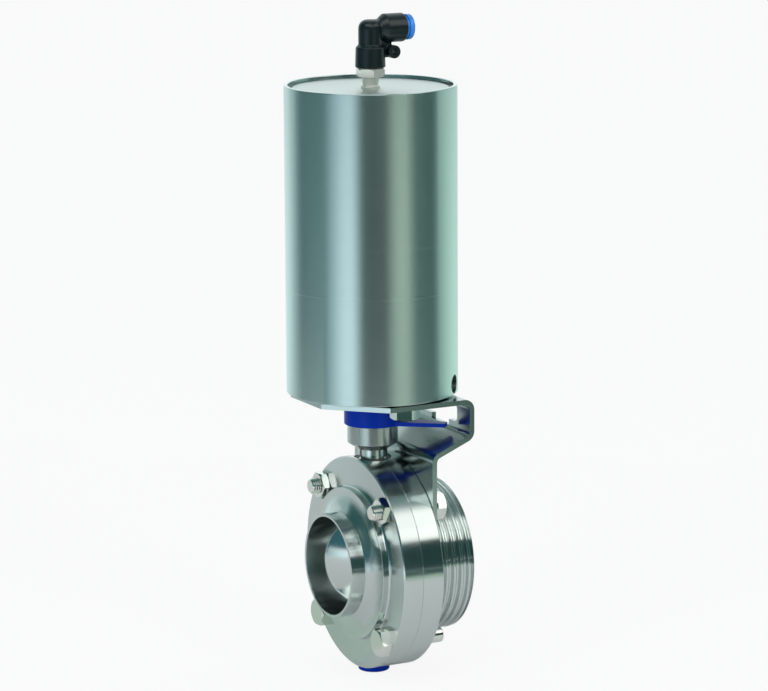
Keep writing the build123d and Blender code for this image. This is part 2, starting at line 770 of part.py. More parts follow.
# Actuator base: centres on the bracket, carries the shaft bush and the breather port
shaft_bush_bottom_z = base_bottom_z + slip_gap
base_r = casing_inner_r - slip_gap
with BuildPart() as actuator_base:
    with BuildSketch(Plane.XY.offset(base_bottom_z)):
        Circle(base_r)
    extrude(amount=base_t)
    chamfer(actuator_base.edges().group_by(Axis.Z)[0], base_edge)
    with BuildSketch(Plane.XY.offset(base_bottom_z)):
        Circle(base_spigot_d / 2)
    extrude(amount=-base_spigot_t)
    with BuildSketch(Plane.XY.offset(base_bottom_z - base_spigot_t)) as journal_hole:
        Circle(journal_d / 2 + face_gap)
    extrude(amount=base_spigot_t + base_t, mode=Mode.SUBTRACT)
    with BuildSketch(Plane.XY.offset(base_bottom_z)) as bush_hole:
        Circle(shaft_bush_d / 2)
    extrude(amount=base_t, mode=Mode.SUBTRACT)
    with BuildSketch(Plane.XY.offset(base_bottom_z)) as mounting_threads:
        with Locations(*mounting_places):
            Circle(m8_d / 2 + slip_gap)
    extrude(amount=mounting_screw_grip + 1, mode=Mode.SUBTRACT)
    with BuildSketch(Plane.XY.offset(base_groove_z)) as base_groove:
        Circle(base_r)
        Circle(casing_inner_r - o_ring_t, mode=Mode.SUBTRACT)
    extrude(amount=o_ring_groove_w, mode=Mode.SUBTRACT)
    with BuildSketch(facing_plane(port_angle, base_r, base_bottom_z + port_height)) as port_thread:
        Circle(port_d / 2)
    extrude(amount=-port_depth, mode=Mode.SUBTRACT)
    with BuildSketch(turned_plane(port_angle, base_bottom_z + port_height)) as port_riser:
        with Locations((base_r - port_depth + port_d / 4, 0)):
            Circle(port_d / 4)
    extrude(amount=base_t, mode=Mode.SUBTRACT)
    with BuildSketch(Plane.XY.offset(base_top_z)) as sleeve_threads:
        with PolarLocations(sleeve_screw_r, 4, start_angle=0):
            Circle(m3_d / 2 + slip_gap)
    extrude(amount=-(m3_length - sleeve_foot_t + 0.5), mode=Mode.SUBTRACT)
actuator_base.part.label = "actuator_base"
export_step(actuator_base.part, "parts/actuator_base.step")

# O-ring round the base
with BuildPart() as base_o_ring:
    o_ring(casing_inner_r - o_ring_t / 2, o_ring_t, Plane.XY.offset(base_groove_z + o_ring_groove_w / 2))
base_o_ring.part.label = "base_o_ring"
export_step(base_o_ring.part, "parts/base_o_ring.step")

# Shaft bush and its O-ring, one above the other in the base
shaft_seal_t = shaft_bush_d / 2 - journal_d / 2 - running_gap
with BuildPart() as shaft_bush:
    bush_start_z = base_bottom_z + shaft_seal_t
    ring(Plane.XY.offset(bush_start_z), shaft_bush_d / 2, journal_d / 2 + running_gap, base_top_z - bush_start_z)
shaft_bush.part.label = "shaft_bush"
export_step(shaft_bush.part, "parts/shaft_bush.step")

with BuildPart() as shaft_o_ring:
    shaft_seal_r = journal_d / 2 + running_gap + shaft_seal_t / 2
    o_ring(shaft_seal_r, shaft_seal_t, Plane.XY.offset(base_bottom_z + shaft_seal_t / 2))
shaft_o_ring.part.label = "shaft_o_ring"
export_step(shaft_o_ring.part, "parts/shaft_o_ring.step")

# Thrust washer between the base and the shaft's shoulder
with BuildPart() as thrust_washer:
    ring(Plane.XY.offset(base_top_z), cam_shaft_r + 2, journal_d / 2 + face_gap, thrust_washer_t)
thrust_washer.part.label = "thrust_washer"
export_step(thrust_washer.part, "parts/thrust_washer.step")

# Cam shaft: two opposed helical grooves, cut by sweeping the groove's section up a helix
rise_per_degree = stroke / turn
groove_r = cam_shaft_r - cam_groove_depth / 2
cam_shaft_top_z = roller_rest_z + stroke_up + cam_roller_d / 2 + cam_shaft_top_margin
circlip_z = base_bottom_z - base_spigot_t - axial_play - circlip_t
with BuildPart() as cam_shaft:
    with BuildSketch(Plane.XY.offset(cam_shoulder_z)):
        Circle(cam_shaft_r)
    extrude(amount=cam_shaft_top_z - cam_shoulder_z)
    chamfer(cam_shaft.edges().group_by(Axis.Z)[-1], 0.8)
    with BuildSketch(Plane.XY.offset(circlip_z - 0.6)):
        Circle(journal_d / 2)
    extrude(amount=cam_shoulder_z - circlip_z + 0.6)
    with BuildSketch(Plane.XY.offset(circlip_z)) as circlip_groove:
        Circle(journal_d / 2)
        Circle(journal_d / 2 - circlip_groove_depth, mode=Mode.SUBTRACT)
    extrude(amount=circlip_t, mode=Mode.SUBTRACT)
    with BuildSketch(turned_plane(disc_angle, drive_square_bottom_z)) as drive_square:
        Rectangle(drive_square_af, drive_square_af)
    extrude(amount=circlip_z - 0.6 - drive_square_bottom_z)
    groove_foot_angle = -stroke_down / rise_per_degree
    with BuildLine(Plane.XY.offset(roller_rest_z - stroke_down)) as groove_path:
        Helix(pitch=rise_per_degree * 360, height=stroke, radius=groove_r)
    for side in (0, 180):
        path = groove_path.line.rotate(Axis.Z, side + groove_foot_angle)
        outward = turned_plane(side + groove_foot_angle).x_dir
        with BuildSketch(Plane(origin=path @ 0, x_dir=outward, z_dir=path % 0)) as groove_section:
            with Locations((cam_groove_depth / 4, 0)):
                Rectangle(cam_groove_depth * 1.5, cam_roller_d + 2 * cam_groove_gap)
        sweep(groove_section.sketch, path=path, is_frenet=True, mode=Mode.SUBTRACT)
        for lift in (-stroke_down, stroke_up):
            end_angle = side + lift / rise_per_degree
            with BuildSketch(facing_plane(end_angle, cam_shaft_r - cam_groove_depth, roller_rest_z + lift)):
                Circle(cam_roller_d / 2 + cam_groove_gap)
            extrude(amount=cam_groove_depth * 1.5, mode=Mode.SUBTRACT)
cam_shaft.part.label = "cam_shaft"
export_step(cam_shaft.part, "parts/cam_shaft.step")

# Circlip that keeps the shaft from rising
with BuildPart() as shaft_circlip:
    with BuildSketch(Plane.XY.offset(circlip_z)):
        Circle(circlip_d / 2)
        Circle(journal_d / 2 - circlip_groove_depth, mode=Mode.SUBTRACT)
        with Locations((circlip_d / 2, 0)):
            Rectangle(circlip_d, 3, mode=Mode.SUBTRACT)
    extrude(amount=circlip_t)
shaft_circlip.part.label = "shaft_circlip"
export_step(shaft_circlip.part, "parts/shaft_circlip.step")

# Guide sleeve: two straight slots that keep the piston from turning
sleeve_top_z = piston_under_z - stroke_down - sleeve_top_gap
slot_bottom_z = roller_rest_z - stroke_down - guide_roller_d / 2 - 1
with BuildPart() as guide_sleeve:
    ring(Plane.XY.offset(base_top_z), sleeve_foot_r, sleeve_inner_r, sleeve_foot_t)
    ring(Plane.XY.offset(base_top_z), sleeve_outer_r, sleeve_inner_r, sleeve_top_z - base_top_z)
    with BuildSketch(Plane.XY.offset(slot_bottom_z)) as straight_slots:
        Rectangle(2 * sleeve_outer_r + 2, guide_roller_d + 2 * guide_slot_gap)
    extrude(amount=sleeve_top_z - slot_bottom_z, mode=Mode.SUBTRACT)
    with BuildSketch(Plane.XY.offset(base_top_z)) as foot_holes:
        with PolarLocations(sleeve_screw_r, 4, start_angle=0):
            Circle(m3_d / 2 + slip_gap)
    extrude(amount=sleeve_foot_t, mode=Mode.SUBTRACT)
guide_sleeve.part.label = "guide_sleeve"
export_step(guide_sleeve.part, "parts/guide_sleeve.step")

# Socket screws that hold the sleeve's foot on the base
with BuildPart() as sleeve_screw:
    with BuildSketch(Plane.XY.offset(base_top_z + sleeve_foot_t)):
        Circle(m3_head_d / 2)
    extrude(amount=m3_head_t)
    with BuildSketch(Plane.XY.offset(base_top_z + sleeve_foot_t + m3_head_t)):
        RegularPolygon(m3_socket_af / 2, 6, major_radius=False)
    extrude(amount=-m3_head_t / 2, mode=Mode.SUBTRACT)
    with BuildSketch(Plane.XY.offset(base_top_z + sleeve_foot_t)):
        Circle(m3_d / 2)
    extrude(amount=-m3_length)
with BuildPart() as sleeve_screws:
    with PolarLocations(sleeve_screw_r, 4, start_angle=0):
        add(sleeve_screw.part)
sleeve_screws.part.label = "sleeve_screws"
export_step(sleeve_screws.part, "parts/sleeve_screws.step")

# Piston with its skirt over the cam shaft
seal_groove_z = piston_under_z + piston_seal_land
band_groove_z = seal_groove_z + o_ring_groove_w + guide_band_land
skirt_bottom_z = roller_rest_z - skirt_below_rollers
with BuildPart() as piston:
    with BuildSketch(Plane.XY.offset(piston_under_z)):
        Circle(piston_r)
    extrude(amount=piston_t)
    with BuildSketch(Plane.XY.offset(piston_under_z + piston_t)) as top_dish:
        Circle(piston_dish_d / 2)
    extrude(amount=-piston_dish_depth, mode=Mode.SUBTRACT)
    with BuildSketch(Plane.XY.offset(skirt_bottom_z)):
        Circle(skirt_d / 2)
    extrude(amount=piston_under_z - skirt_bottom_z)
    with BuildSketch(Plane.XY.offset(skirt_bottom_z)) as skirt_bore:
        Circle(cam_shaft_r + running_gap)
    extrude(amount=piston_bore_top_z - skirt_bottom_z, mode=Mode.SUBTRACT)
    with BuildSketch(Plane.XY.offset(seal_groove_z)) as seal_groove:
        Circle(piston_r)
        Circle(casing_inner_r - running_gap - o_ring_t, mode=Mode.SUBTRACT)
    extrude(amount=o_ring_groove_w, mode=Mode.SUBTRACT)
    with BuildSketch(Plane.XY.offset(band_groove_z)) as band_groove:
        Circle(piston_r)
        Circle(casing_inner_r - running_gap - guide_band_t, mode=Mode.SUBTRACT)
    extrude(amount=guide_band_w, mode=Mode.SUBTRACT)
    for side in (0, 180):
        with BuildSketch(facing_plane(side, 0, roller_rest_z)) as pin_hole:
            Circle(roller_pin_d / 2)
        extrude(amount=skirt_d, mode=Mode.SUBTRACT)
piston.part.label = "piston"
export_step(piston.part, "parts/piston.step")

with BuildPart() as piston_seal:
    seal_mid_r = casing_inner_r - running_gap - o_ring_t / 2
    o_ring(seal_mid_r, o_ring_t, Plane.XY.offset(seal_groove_z + o_ring_groove_w / 2))
piston_seal.part.label = "piston_seal"
export_step(piston_seal.part, "parts/piston_seal.step")

with BuildPart() as piston_guide_band:
    band_outer_r = casing_inner_r - running_gap
    ring(Plane.XY.offset(band_groove_z), band_outer_r, band_outer_r - guide_band_t, guide_band_w)
piston_guide_band.part.label = "piston_guide_band"
export_step(piston_guide_band.part, "parts/piston_guide_band.step")

# Pins through the skirt, each with a roller in the cam groove and one in the straight slot
cam_roller_inner = cam_shaft_r - cam_groove_depth + roller_end_gap
cam_roller_outer = sqrt(cam_shaft_r**2 - (cam_roller_d / 2) ** 2)
with BuildPart() as roller_pins:
    for side in (0, 180):
        with BuildSketch(facing_plane(side, cam_roller_inner, roller_rest_z)):
            Circle(roller_pin_d / 2)
        extrude(amount=sleeve_outer_r - cam_roller_inner)
roller_pins.part.label = "roller_pins"
export_step(roller_pins.part, "parts/roller_pins.step")

with BuildPart() as cam_rollers:
    for side in (0, 180):
        cam_roller_plane = facing_plane(side, cam_roller_inner, roller_rest_z)
        ring(cam_roller_plane, cam_roller_d / 2, roller_pin_d / 2, cam_roller_outer - cam_roller_inner)
cam_rollers.part.label = "cam_rollers"
export_step(cam_rollers.part, "parts/cam_rollers.step")

with BuildPart() as guide_rollers:
    for side in (0, 180):
        guide_roller_plane = facing_plane(side, skirt_d / 2 + slip_gap, roller_rest_z)
        guide_roller_length = sleeve_outer_r - skirt_d / 2 - slip_gap
        ring(guide_roller_plane, guide_roller_d / 2, roller_pin_d / 2, guide_roller_length)
guide_rollers.part.label = "guide_rollers"
export_step(guide_rollers.part, "parts/guide_rollers.step")

# Return spring between the base and the piston
with BuildPart() as return_spring:
    spring_bottom_z = base_top_z + spring_wire_d / 2
    spring_height = piston_under_z - base_top_z - spring_wire_d
    with BuildLine(Plane.XY.offset(spring_bottom_z)) as coil:
        Helix(pitch=spring_height / spring_turns, height=spring_height, radius=spring_mean_r)
    with BuildSketch(Plane(origin=coil.line @ 0, z_dir=coil.line % 0)):
        Circle(spring_wire_d / 2)
    sweep(path=coil.line, is_frenet=True)
return_spring.part.label = "return_spring"
export_step(return_spring.part, "parts/return_spring.step")

# Lid with its raised boss, and the O-ring round it
with BuildPart() as lid:
    with BuildSketch(Plane.XY.offset(lid_under_z)):
        Circle(base_r)
    extrude(amount=lid_shoulder_t)
    with BuildSketch(Plane.XY.offset(lid_shoulder_z)):
        Circle(lid_boss_r)
    extrude(amount=lid_boss_t)
    chamfer(lid.edges().group_by(Axis.Z)[-1], 0.3)
    with BuildSketch(Plane.XY.offset(lid_under_z + lid_shoulder_t / 2 - o_ring_groove_w / 2)):
        Circle(base_r)
        Circle(casing_inner_r - o_ring_t, mode=Mode.SUBTRACT)
    extrude(amount=o_ring_groove_w, mode=Mode.SUBTRACT)
    with BuildSketch(Plane.XY.offset(lid_under_z)) as stud_hole:
        Circle(stud_thread_d / 2 + slip_gap)
    extrude(amount=lid_shoulder_t + lid_boss_t, mode=Mode.SUBTRACT)
lid.part.label = "lid"
export_step(lid.part, "parts/lid.step")

with BuildPart() as lid_o_ring:
    o_ring(casing_inner_r - o_ring_t / 2, o_ring_t, Plane.XY.offset(lid_under_z + lid_shoulder_t / 2))
lid_o_ring.part.label = "lid_o_ring"
export_step(lid_o_ring.part, "parts/lid_o_ring.step")

# Snap ring in the casing's groove, open at the back
with BuildPart() as snap_ring:
    with BuildSketch(Plane.XY.offset(lid_shoulder_z)):
        Circle(casing_inner_r + snap_groove_depth - slip_gap)
        Circle(lid_boss_r + face_gap, mode=Mode.SUBTRACT)
        with Locations((0, casing_inner_r)):
            Rectangle(snap_ring_opening, 6 * casing_wall, mode=Mode.SUBTRACT)
    extrude(amount=snap_ring_t)
snap_ring.part.label = "snap_ring"
export_step(snap_ring.part, "parts/snap_ring.step")

# Fitting stud: thread, collar, neck, hexagon and the spigot that the elbow swivels on
hex_bottom_z = lid_face_z + stud_collar_t + stud_neck_length
hex_top_z = hex_bottom_z + stud_hex_t
with BuildPart() as fitting_stud:
    hexagon(turned_plane(stud_hex_angle, hex_bottom_z), stud_hex_af, stud_hex_t, hex_corner_drop, both_ends=True)
    with BuildSketch(Plane.XZ) as stud_section:
        with BuildLine():
            Polyline(
                (stud_bore_d / 2, lid_face_z - stud_thread_length),
                (stud_thread_d / 2 - 0.8, lid_face_z - stud_thread_length),
                (stud_thread_d / 2, lid_face_z - stud_thread_length + 0.8),
                (stud_thread_d / 2, lid_face_z),
                (stud_collar_d / 2, lid_face_z),
                (stud_collar_d / 2, lid_face_z + stud_collar_t),
                (stud_neck_d / 2, lid_face_z + stud_collar_t),
                (stud_neck_d / 2, hex_bottom_z),
                (stud_spigot_d / 2, hex_bottom_z),
                (stud_spigot_d / 2, hex_top_z + stud_spigot_length / 2),
                (stud_spigot_d / 2 - 1, hex_top_z + stud_spigot_length / 2),
                (stud_spigot_d / 2 - 1, hex_top_z + stud_spigot_length / 2 + 1.8),
                (stud_spigot_d / 2, hex_top_z + stud_spigot_length / 2 + 1.8),
                (stud_spigot_d / 2, hex_top_z + stud_spigot_length),
                (stud_bore_d / 2, hex_top_z + stud_spigot_length),
                close=True,
            )
        make_face()
    revolve(axis=Axis.Z)
    with BuildSketch(Plane.XY.offset(lid_face_z - stud_thread_length)) as stud_bore:
        Circle(stud_bore_d / 2)
    extrude(amount=stud_thread_length + casing_length, mode=Mode.SUBTRACT)
fitting_stud.part.label = "fitting_stud"
export_step(fitting_stud.part, "parts/fitting_stud.step")

with BuildPart() as swivel_o_ring:
    swivel_ring_z = hex_top_z + stud_spigot_length / 2 + 0.9
    o_ring(stud_spigot_d / 2 - 0.45, 0.9, Plane.XY.offset(swivel_ring_z))
swivel_o_ring.part.label = "swivel_o_ring"
export_step(swivel_o_ring.part, "parts/swivel_o_ring.step")

# Elbow body: sleeve, neck, branch and the eyelet under the branch
shoulder_z = elbow_base_z + elbow_sleeve_length
elbow_top_z = elbow_axis_z + elbow_neck_d / 2 - 1.2
with BuildPart() as fitting_elbow:
    with BuildSketch(Plane.XY.offset(elbow_base_z)):
        Circle(elbow_neck_d / 2)
    extrude(amount=elbow_top_z - elbow_base_z)
    fillet(fitting_elbow.edges().group_by(Axis.Z)[-1], elbow_corner_r)
    with BuildSketch(Plane.XZ.offset(0)) as neck_run:
        with Locations((0, elbow_axis_z)):
            Circle(elbow_neck_d / 2 - 1.2)
    extrude(amount=-branch_end_y)
    with BuildSketch(Plane.XZ) as sleeve_section:
        with BuildLine():
            Polyline(
                (0, elbow_base_z),
                (elbow_sleeve_d / 2 - 0.6, elbow_base_z),
                (elbow_sleeve_d / 2, elbow_base_z + 0.6),
                (elbow_sleeve_top_d / 2, shoulder_z),
                (elbow_neck_d / 2, shoulder_z + elbow_shoulder),
                (0, shoulder_z + elbow_shoulder),
                close=True,
            )
        make_face()
    revolve(axis=Axis.Z)
    branch_axis = Axis((0, 0, elbow_axis_z), (0, 1, 0))
    with BuildSketch(Plane.YZ) as branch_section:
        with BuildLine():
            Polyline(
                (branch_cone_y, elbow_axis_z),
                (branch_cone_y, elbow_axis_z + elbow_neck_d / 2 - 1.2),
                (branch_start_y, elbow_axis_z + branch_d / 2),
                (branch_end_y, elbow_axis_z + branch_d / 2),
                (branch_end_y, elbow_axis_z),
                close=True,
            )
        make_face()
    revolve(axis=branch_axis)
    fillet(fitting_elbow.edges().group_by(Axis.Y)[-1], branch_edge_r)
    with BuildSketch(Plane.YZ.offset(-eyelet_half_length)) as eyelet_round:
        with Locations((eyelet_y, elbow_axis_z - eyelet_drop)):
            Circle(eyelet_d / 2)
    extrude(amount=2 * eyelet_half_length)
    with BuildSketch(Plane.YZ.offset(-eyelet_web_t / 2)) as eyelet_web:
        with BuildLine():
            Polyline(
                (0, elbow_axis_z - eyelet_drop - eyelet_d / 2 + 0.4),
                (eyelet_y, elbow_axis_z - eyelet_drop - eyelet_d / 2 + 0.4),
                (eyelet_y, elbow_axis_z),
                (0, elbow_axis_z),
                close=True,
            )
        make_face()
    extrude(amount=eyelet_web_t)
    with BuildSketch(Plane.YZ.offset(-eyelet_half_length)) as eyelet_hole:
        with Locations((eyelet_y, elbow_axis_z - eyelet_drop)):
            Circle(eyelet_hole_d / 2)
    extrude(amount=2 * eyelet_half_length, mode=Mode.SUBTRACT)
    with BuildSketch(Plane.XY.offset(elbow_base_z)) as swivel_bore:
        Circle(stud_spigot_d / 2 + running_gap)
    extrude(amount=stud_spigot_length, mode=Mode.SUBTRACT)
    with BuildSketch(Plane.XY.offset(elbow_base_z)) as air_riser:
        Circle(elbow_channel_d / 2)
    extrude(amount=elbow_axis_height, mode=Mode.SUBTRACT)
    with BuildSketch(Plane.XZ) as air_branch:
        with Locations((0, elbow_axis_z)):
            Circle(elbow_channel_d / 2)
    extrude(amount=-branch_end_y, mode=Mode.SUBTRACT)
    with BuildSketch(Plane.XZ.offset(-tube_stop_y)) as tube_bore:
        with Locations((0, elbow_axis_z)):
            Circle(tube_d / 2 + tube_gap)
    extrude(amount=-branch_end_y, mode=Mode.SUBTRACT)
    with BuildSketch(Plane.XZ.offset(-(branch_end_y - collet_bore_depth))) as collet_bore:
        with Locations((0, elbow_axis_z)):
            Circle(collet_bore_d / 2)
    extrude(amount=-collet_bore_depth, mode=Mode.SUBTRACT)
fitting_elbow.part.label = "fitting_elbow"
export_step(fitting_elbow.part, "parts/fitting_elbow.step")

# Inside the branch: tube seal, grip ring and the release collet
branch_axis_plane = Plane(origin=(0, 0, elbow_axis_z), x_dir=(1, 0, 0), z_dir=(0, 1, 0))
collet_bore_start_y = branch_end_y - collet_bore_depth
with BuildPart() as tube_seal:
    seal_plane = branch_axis_plane.offset(collet_bore_start_y)
    ring(seal_plane, collet_bore_d / 2, tube_d / 2 + tube_gap, tube_seal_t)
tube_seal.part.label = "tube_seal"
export_step(tube_seal.part, "parts/tube_seal.step")

with BuildPart() as grip_ring:
    grip_plane = branch_axis_plane.offset(collet_bore_start_y + tube_seal_t)
    ring(grip_plane, collet_bore_d / 2, tube_d / 2 + tube_gap, grip_ring_t)
    with BuildSketch(grip_plane) as grip_notches:
        with PolarLocations(tube_d / 2 + tube_gap + 0.4, 8):
            Rectangle(1.2, 0.6)
    extrude(amount=grip_ring_t, mode=Mode.SUBTRACT)
grip_ring.part.label = "grip_ring"
export_step(grip_ring.part, "parts/grip_ring.step")

with BuildPart() as release_collet:
    collet_inner_r = tube_d / 2 + tube_gap
    collet_outer_r = collet_bore_d / 2 - running_gap
    collet_start_y = collet_bore_start_y + tube_seal_t + grip_ring_t + collet_travel + face_gap
    flange_start_y = collet_reach_y - collet_flange_t
    ring(
        branch_axis_plane.offset(collet_start_y), collet_outer_r, collet_inner_r, collet_reach_y - collet_start_y
    )
    ring(branch_axis_plane.offset(flange_start_y), collet_flange_d / 2, collet_inner_r, collet_flange_t)
    fillet(release_collet.edges().group_by(Axis.Y)[-1].sort_by(SortBy.LENGTH)[-1], 0.7)
release_collet.part.label = "release_collet"
export_step(release_collet.part, "parts/release_collet.step")
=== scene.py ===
# %% [markdown]
# # A butterfly valve with an air actuator, dressed for its photograph
# This lesson takes a valve that was drawn as exact solids and makes it look like the real thing.
# The solids come in as a fixed frame. We never move them: we paint them, and where a smoother
# skin is wanted we lay a finer mesh over them that rides on the same moving body.

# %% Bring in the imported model
import json
import math

import bmesh
import bpy
from mathutils import Matrix, Vector


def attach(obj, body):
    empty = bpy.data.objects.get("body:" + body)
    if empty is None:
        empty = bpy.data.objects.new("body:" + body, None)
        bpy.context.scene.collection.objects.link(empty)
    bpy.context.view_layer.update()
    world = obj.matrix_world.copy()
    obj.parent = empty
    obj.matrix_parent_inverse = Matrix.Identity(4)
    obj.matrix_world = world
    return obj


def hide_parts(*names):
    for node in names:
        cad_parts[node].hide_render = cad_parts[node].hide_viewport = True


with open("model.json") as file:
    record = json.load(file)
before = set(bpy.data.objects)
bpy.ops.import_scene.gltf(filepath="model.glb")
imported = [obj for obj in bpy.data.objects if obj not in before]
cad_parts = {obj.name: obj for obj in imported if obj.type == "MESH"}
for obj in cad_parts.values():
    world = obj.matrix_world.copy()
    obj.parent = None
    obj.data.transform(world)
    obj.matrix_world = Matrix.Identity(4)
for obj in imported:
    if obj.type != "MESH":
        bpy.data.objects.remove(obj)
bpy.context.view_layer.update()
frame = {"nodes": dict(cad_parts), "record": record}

nodes = frame["nodes"]

# %% [markdown]
# Everything below is written in millimetres because that is how a valve is drawn.
# Blender works in metres, so one small factor turns the one into the other.
# The pipe runs along Y and the stem stands along Z, and both pass through the origin.

# %% Units and directions
MM = 0.001
X, Y, Z = Vector((1, 0, 0)), Vector((0, 1, 0)), Vector((0, 0, 1))


def direction(azimuth, elevation=0.0):
    """The unit vector towards a viewer who stands at this azimuth: 0 is in front (-Y), 90 is at +X."""
    a, e = math.radians(azimuth), math.radians(elevation)
    return Vector((math.sin(a) * math.cos(e), -math.cos(a) * math.cos(e), math.sin(e)))


def put(name, data):
    """A new object in the scene that shows some data: a mesh, a lamp or a camera."""
    o = bpy.data.objects.new(name, data)
    bpy.context.scene.collection.objects.link(o)
    return o


# %% [markdown]
# The photograph was taken from 1.8 m away, a little above the middle of the valve, and from the
# side rather than from the front. The lens is long, so upright lines stay almost upright.
# The small pan and roll are what is left when the picture is matched to the solids. A camera can
# also be aimed with a tracking constraint, but three directions worked out once say exactly
# where it looks and how it is tilted.

# %% The camera
STAND_AZIMUTH, STAND_ELEVATION, STAND_DISTANCE = 62.581, 10.936, 1814.99
LOOK_HEIGHT = 116.76
PAN, TILT, ROLL = -0.194, 11.106, -0.307

place = Vector((0, 0, LOOK_HEIGHT * MM)) + direction(STAND_AZIMUTH, STAND_ELEVATION) * STAND_DISTANCE * MM
back = direction(STAND_AZIMUTH + PAN, TILT)
side = Z.cross(back).normalized()
up = back.cross(side)
roll = math.radians(ROLL)
right = side * math.cos(roll) + up * math.sin(roll)
top = up * math.cos(roll) - side * math.sin(roll)

camera_data = bpy.data.cameras.new("camera")
camera_data.sensor_width = 36
camera_data.lens = 168.87
camera_data.clip_end = 20
camera = put("camera", camera_data)
turn = Matrix((right, top, back)).transposed().to_4x4()
camera.matrix_world = Matrix.Translation(place) @ turn
bpy.context.scene.camera = camera
bpy.context.scene.view_settings.view_transform = "Standard"
print("camera at", [round(v, 3) for v in place])

# %% [markdown]
# A material is a small graph of nodes. It could be drawn by hand in the shader editor, but
# sixteen finishes that share a recipe are easier to keep alike in code. The first helper makes
# a node and sets its sockets by name, and the others make what comes up often.

# %% Material helpers


def add_node(tree, kind, **sockets):
    """A new shader node with the named inputs set."""
    n = tree.nodes.new(kind)
    for key, value in sockets.items():
        n.inputs[key.replace("_", " ")].default_value = value
    return n


def new_material(name, colour, roughness, metallic=0.0):
    """A principled material with a plain colour; more is wired in afterwards."""
    m = bpy.data.materials.new(name)
    m.use_nodes = True
    shader = m.node_tree.nodes["Principled BSDF"]
    shader.inputs["Base Color"].default_value = (*colour, 1)
    shader.inputs["Roughness"].default_value = roughness
    shader.inputs["Metallic"].default_value = metallic
    return m, m.node_tree, shader


def worked_out(tree, operation, first, second):
    """A maths node; its first value is a socket, and its second a socket or a number."""
    n = tree.nodes.new("ShaderNodeMath")
    n.operation = operation
    tree.links.new(first, n.inputs[0])
    if isinstance(second, float):
        n.inputs[1].default_value = second
    else:
        tree.links.new(second, n.inputs[1])
    return n.outputs[0]


def mixed(tree, share, first, second):
    """A shader that goes from the first to the second as the share goes from 0 to 1."""
    n = tree.nodes.new("ShaderNodeMixShader")
    for source, socket in zip((share, first, second), n.inputs):
        tree.links.new(source, socket)
    return n.outputs["Shader"]


# %% [markdown]
# No real surface is even. Noise makes the roughness wander a little, and the same noise, used as
# a very low bump, makes the marks that a hand could just feel. Scanned pictures of steel would
# do this too, but they need unwrapping, and they blur up close. The noise is worked out at every
# point of the piece, and it can be stretched, so that its marks run long one way.

# %% Noise, ranges and bumps
BUMP_STRENGTH = 0.3


def grain(tree, scale):
    """Noise in the piece's own coordinates; where a scale is small, the marks are long."""
    where = add_node(tree, "ShaderNodeTexCoord")
    stretch = add_node(tree, "ShaderNodeMapping")
    stretch.inputs["Scale"].default_value = scale
    noise = add_node(tree, "ShaderNodeTexNoise", Scale=1.0, Detail=3.0, Roughness=0.6)
    tree.links.new(where.outputs["Object"], stretch.inputs["Vector"])
    tree.links.new(stretch.outputs["Vector"], noise.inputs["Vector"])
    return noise.outputs["Fac"]


def spread(tree, source, low, high):
    """Maps a 0 to 1 value on to low to high."""
    r = add_node(tree, "ShaderNodeMapRange")
    r.inputs["To Min"].default_value = low
    r.inputs["To Max"].default_value = high
    tree.links.new(source, r.inputs["Value"])
    return r.outputs["Result"]


def bump(tree, shader, source, height):
    """Feeds a value into the normal as a bump of this height in metres."""
    b = add_node(tree, "ShaderNodeBump", Strength=BUMP_STRENGTH, Distance=height)
    tree.links.new(source, b.inputs["Height"])
    tree.links.new(b.outputs["Normal"], shader.inputs["Normal"])


# %% [markdown]
# A lathe leaves fine rings on steel. They smear every highlight across themselves, which is what
# makes turned steel look turned. Anisotropy does the smearing, with its tangent running round the
# axis, and ring-shaped noise makes single marks show.

# %% Ring marks


def ring_marks(tree, axis, fine):
    """Noise that varies with the distance from an axis and along it, but not round it."""
    where = add_node(tree, "ShaderNodeTexCoord")
    parts = add_node(tree, "ShaderNodeSeparateXYZ")
    tree.links.new(where.outputs["Object"], parts.inputs["Vector"])
    across = [a for a in "XYZ" if a != axis]
    flat = add_node(tree, "ShaderNodeCombineXYZ")
    tree.links.new(parts.outputs[across[0]], flat.inputs["X"])
    tree.links.new(parts.outputs[across[1]], flat.inputs["Y"])
    distance = add_node(tree, "ShaderNodeVectorMath")
    distance.operation = "LENGTH"
    tree.links.new(flat.outputs["Vector"], distance.inputs[0])
    place_on = add_node(tree, "ShaderNodeCombineXYZ")
    tree.links.new(distance.outputs["Value"], place_on.inputs["X"])
    tree.links.new(parts.outputs[axis], place_on.inputs["Y"])
    noise = add_node(tree, "ShaderNodeTexNoise", Scale=fine, Detail=4.0, Roughness=0.65)
    tree.links.new(place_on.outputs["Vector"], noise.inputs["Vector"])
    return noise.outputs["Fac"]


# %% [markdown]
# One recipe makes all the metals of this valve. What changes is the colour, how rough it is and
# how it was worked. Where one steel face mirrors another, the second smears the picture again, and
# soft reflections turn to mud. So a face that is seen in another is made crisper.

# %% Metals
STEEL = (0.60, 0.66, 0.645)
EVEN_GRAIN = (500, 500, 500)
SMEAR, SMEAR_TURN = 0.85, 0.25
CRISPER_IN_MIRROR = 0.35
finish = {}


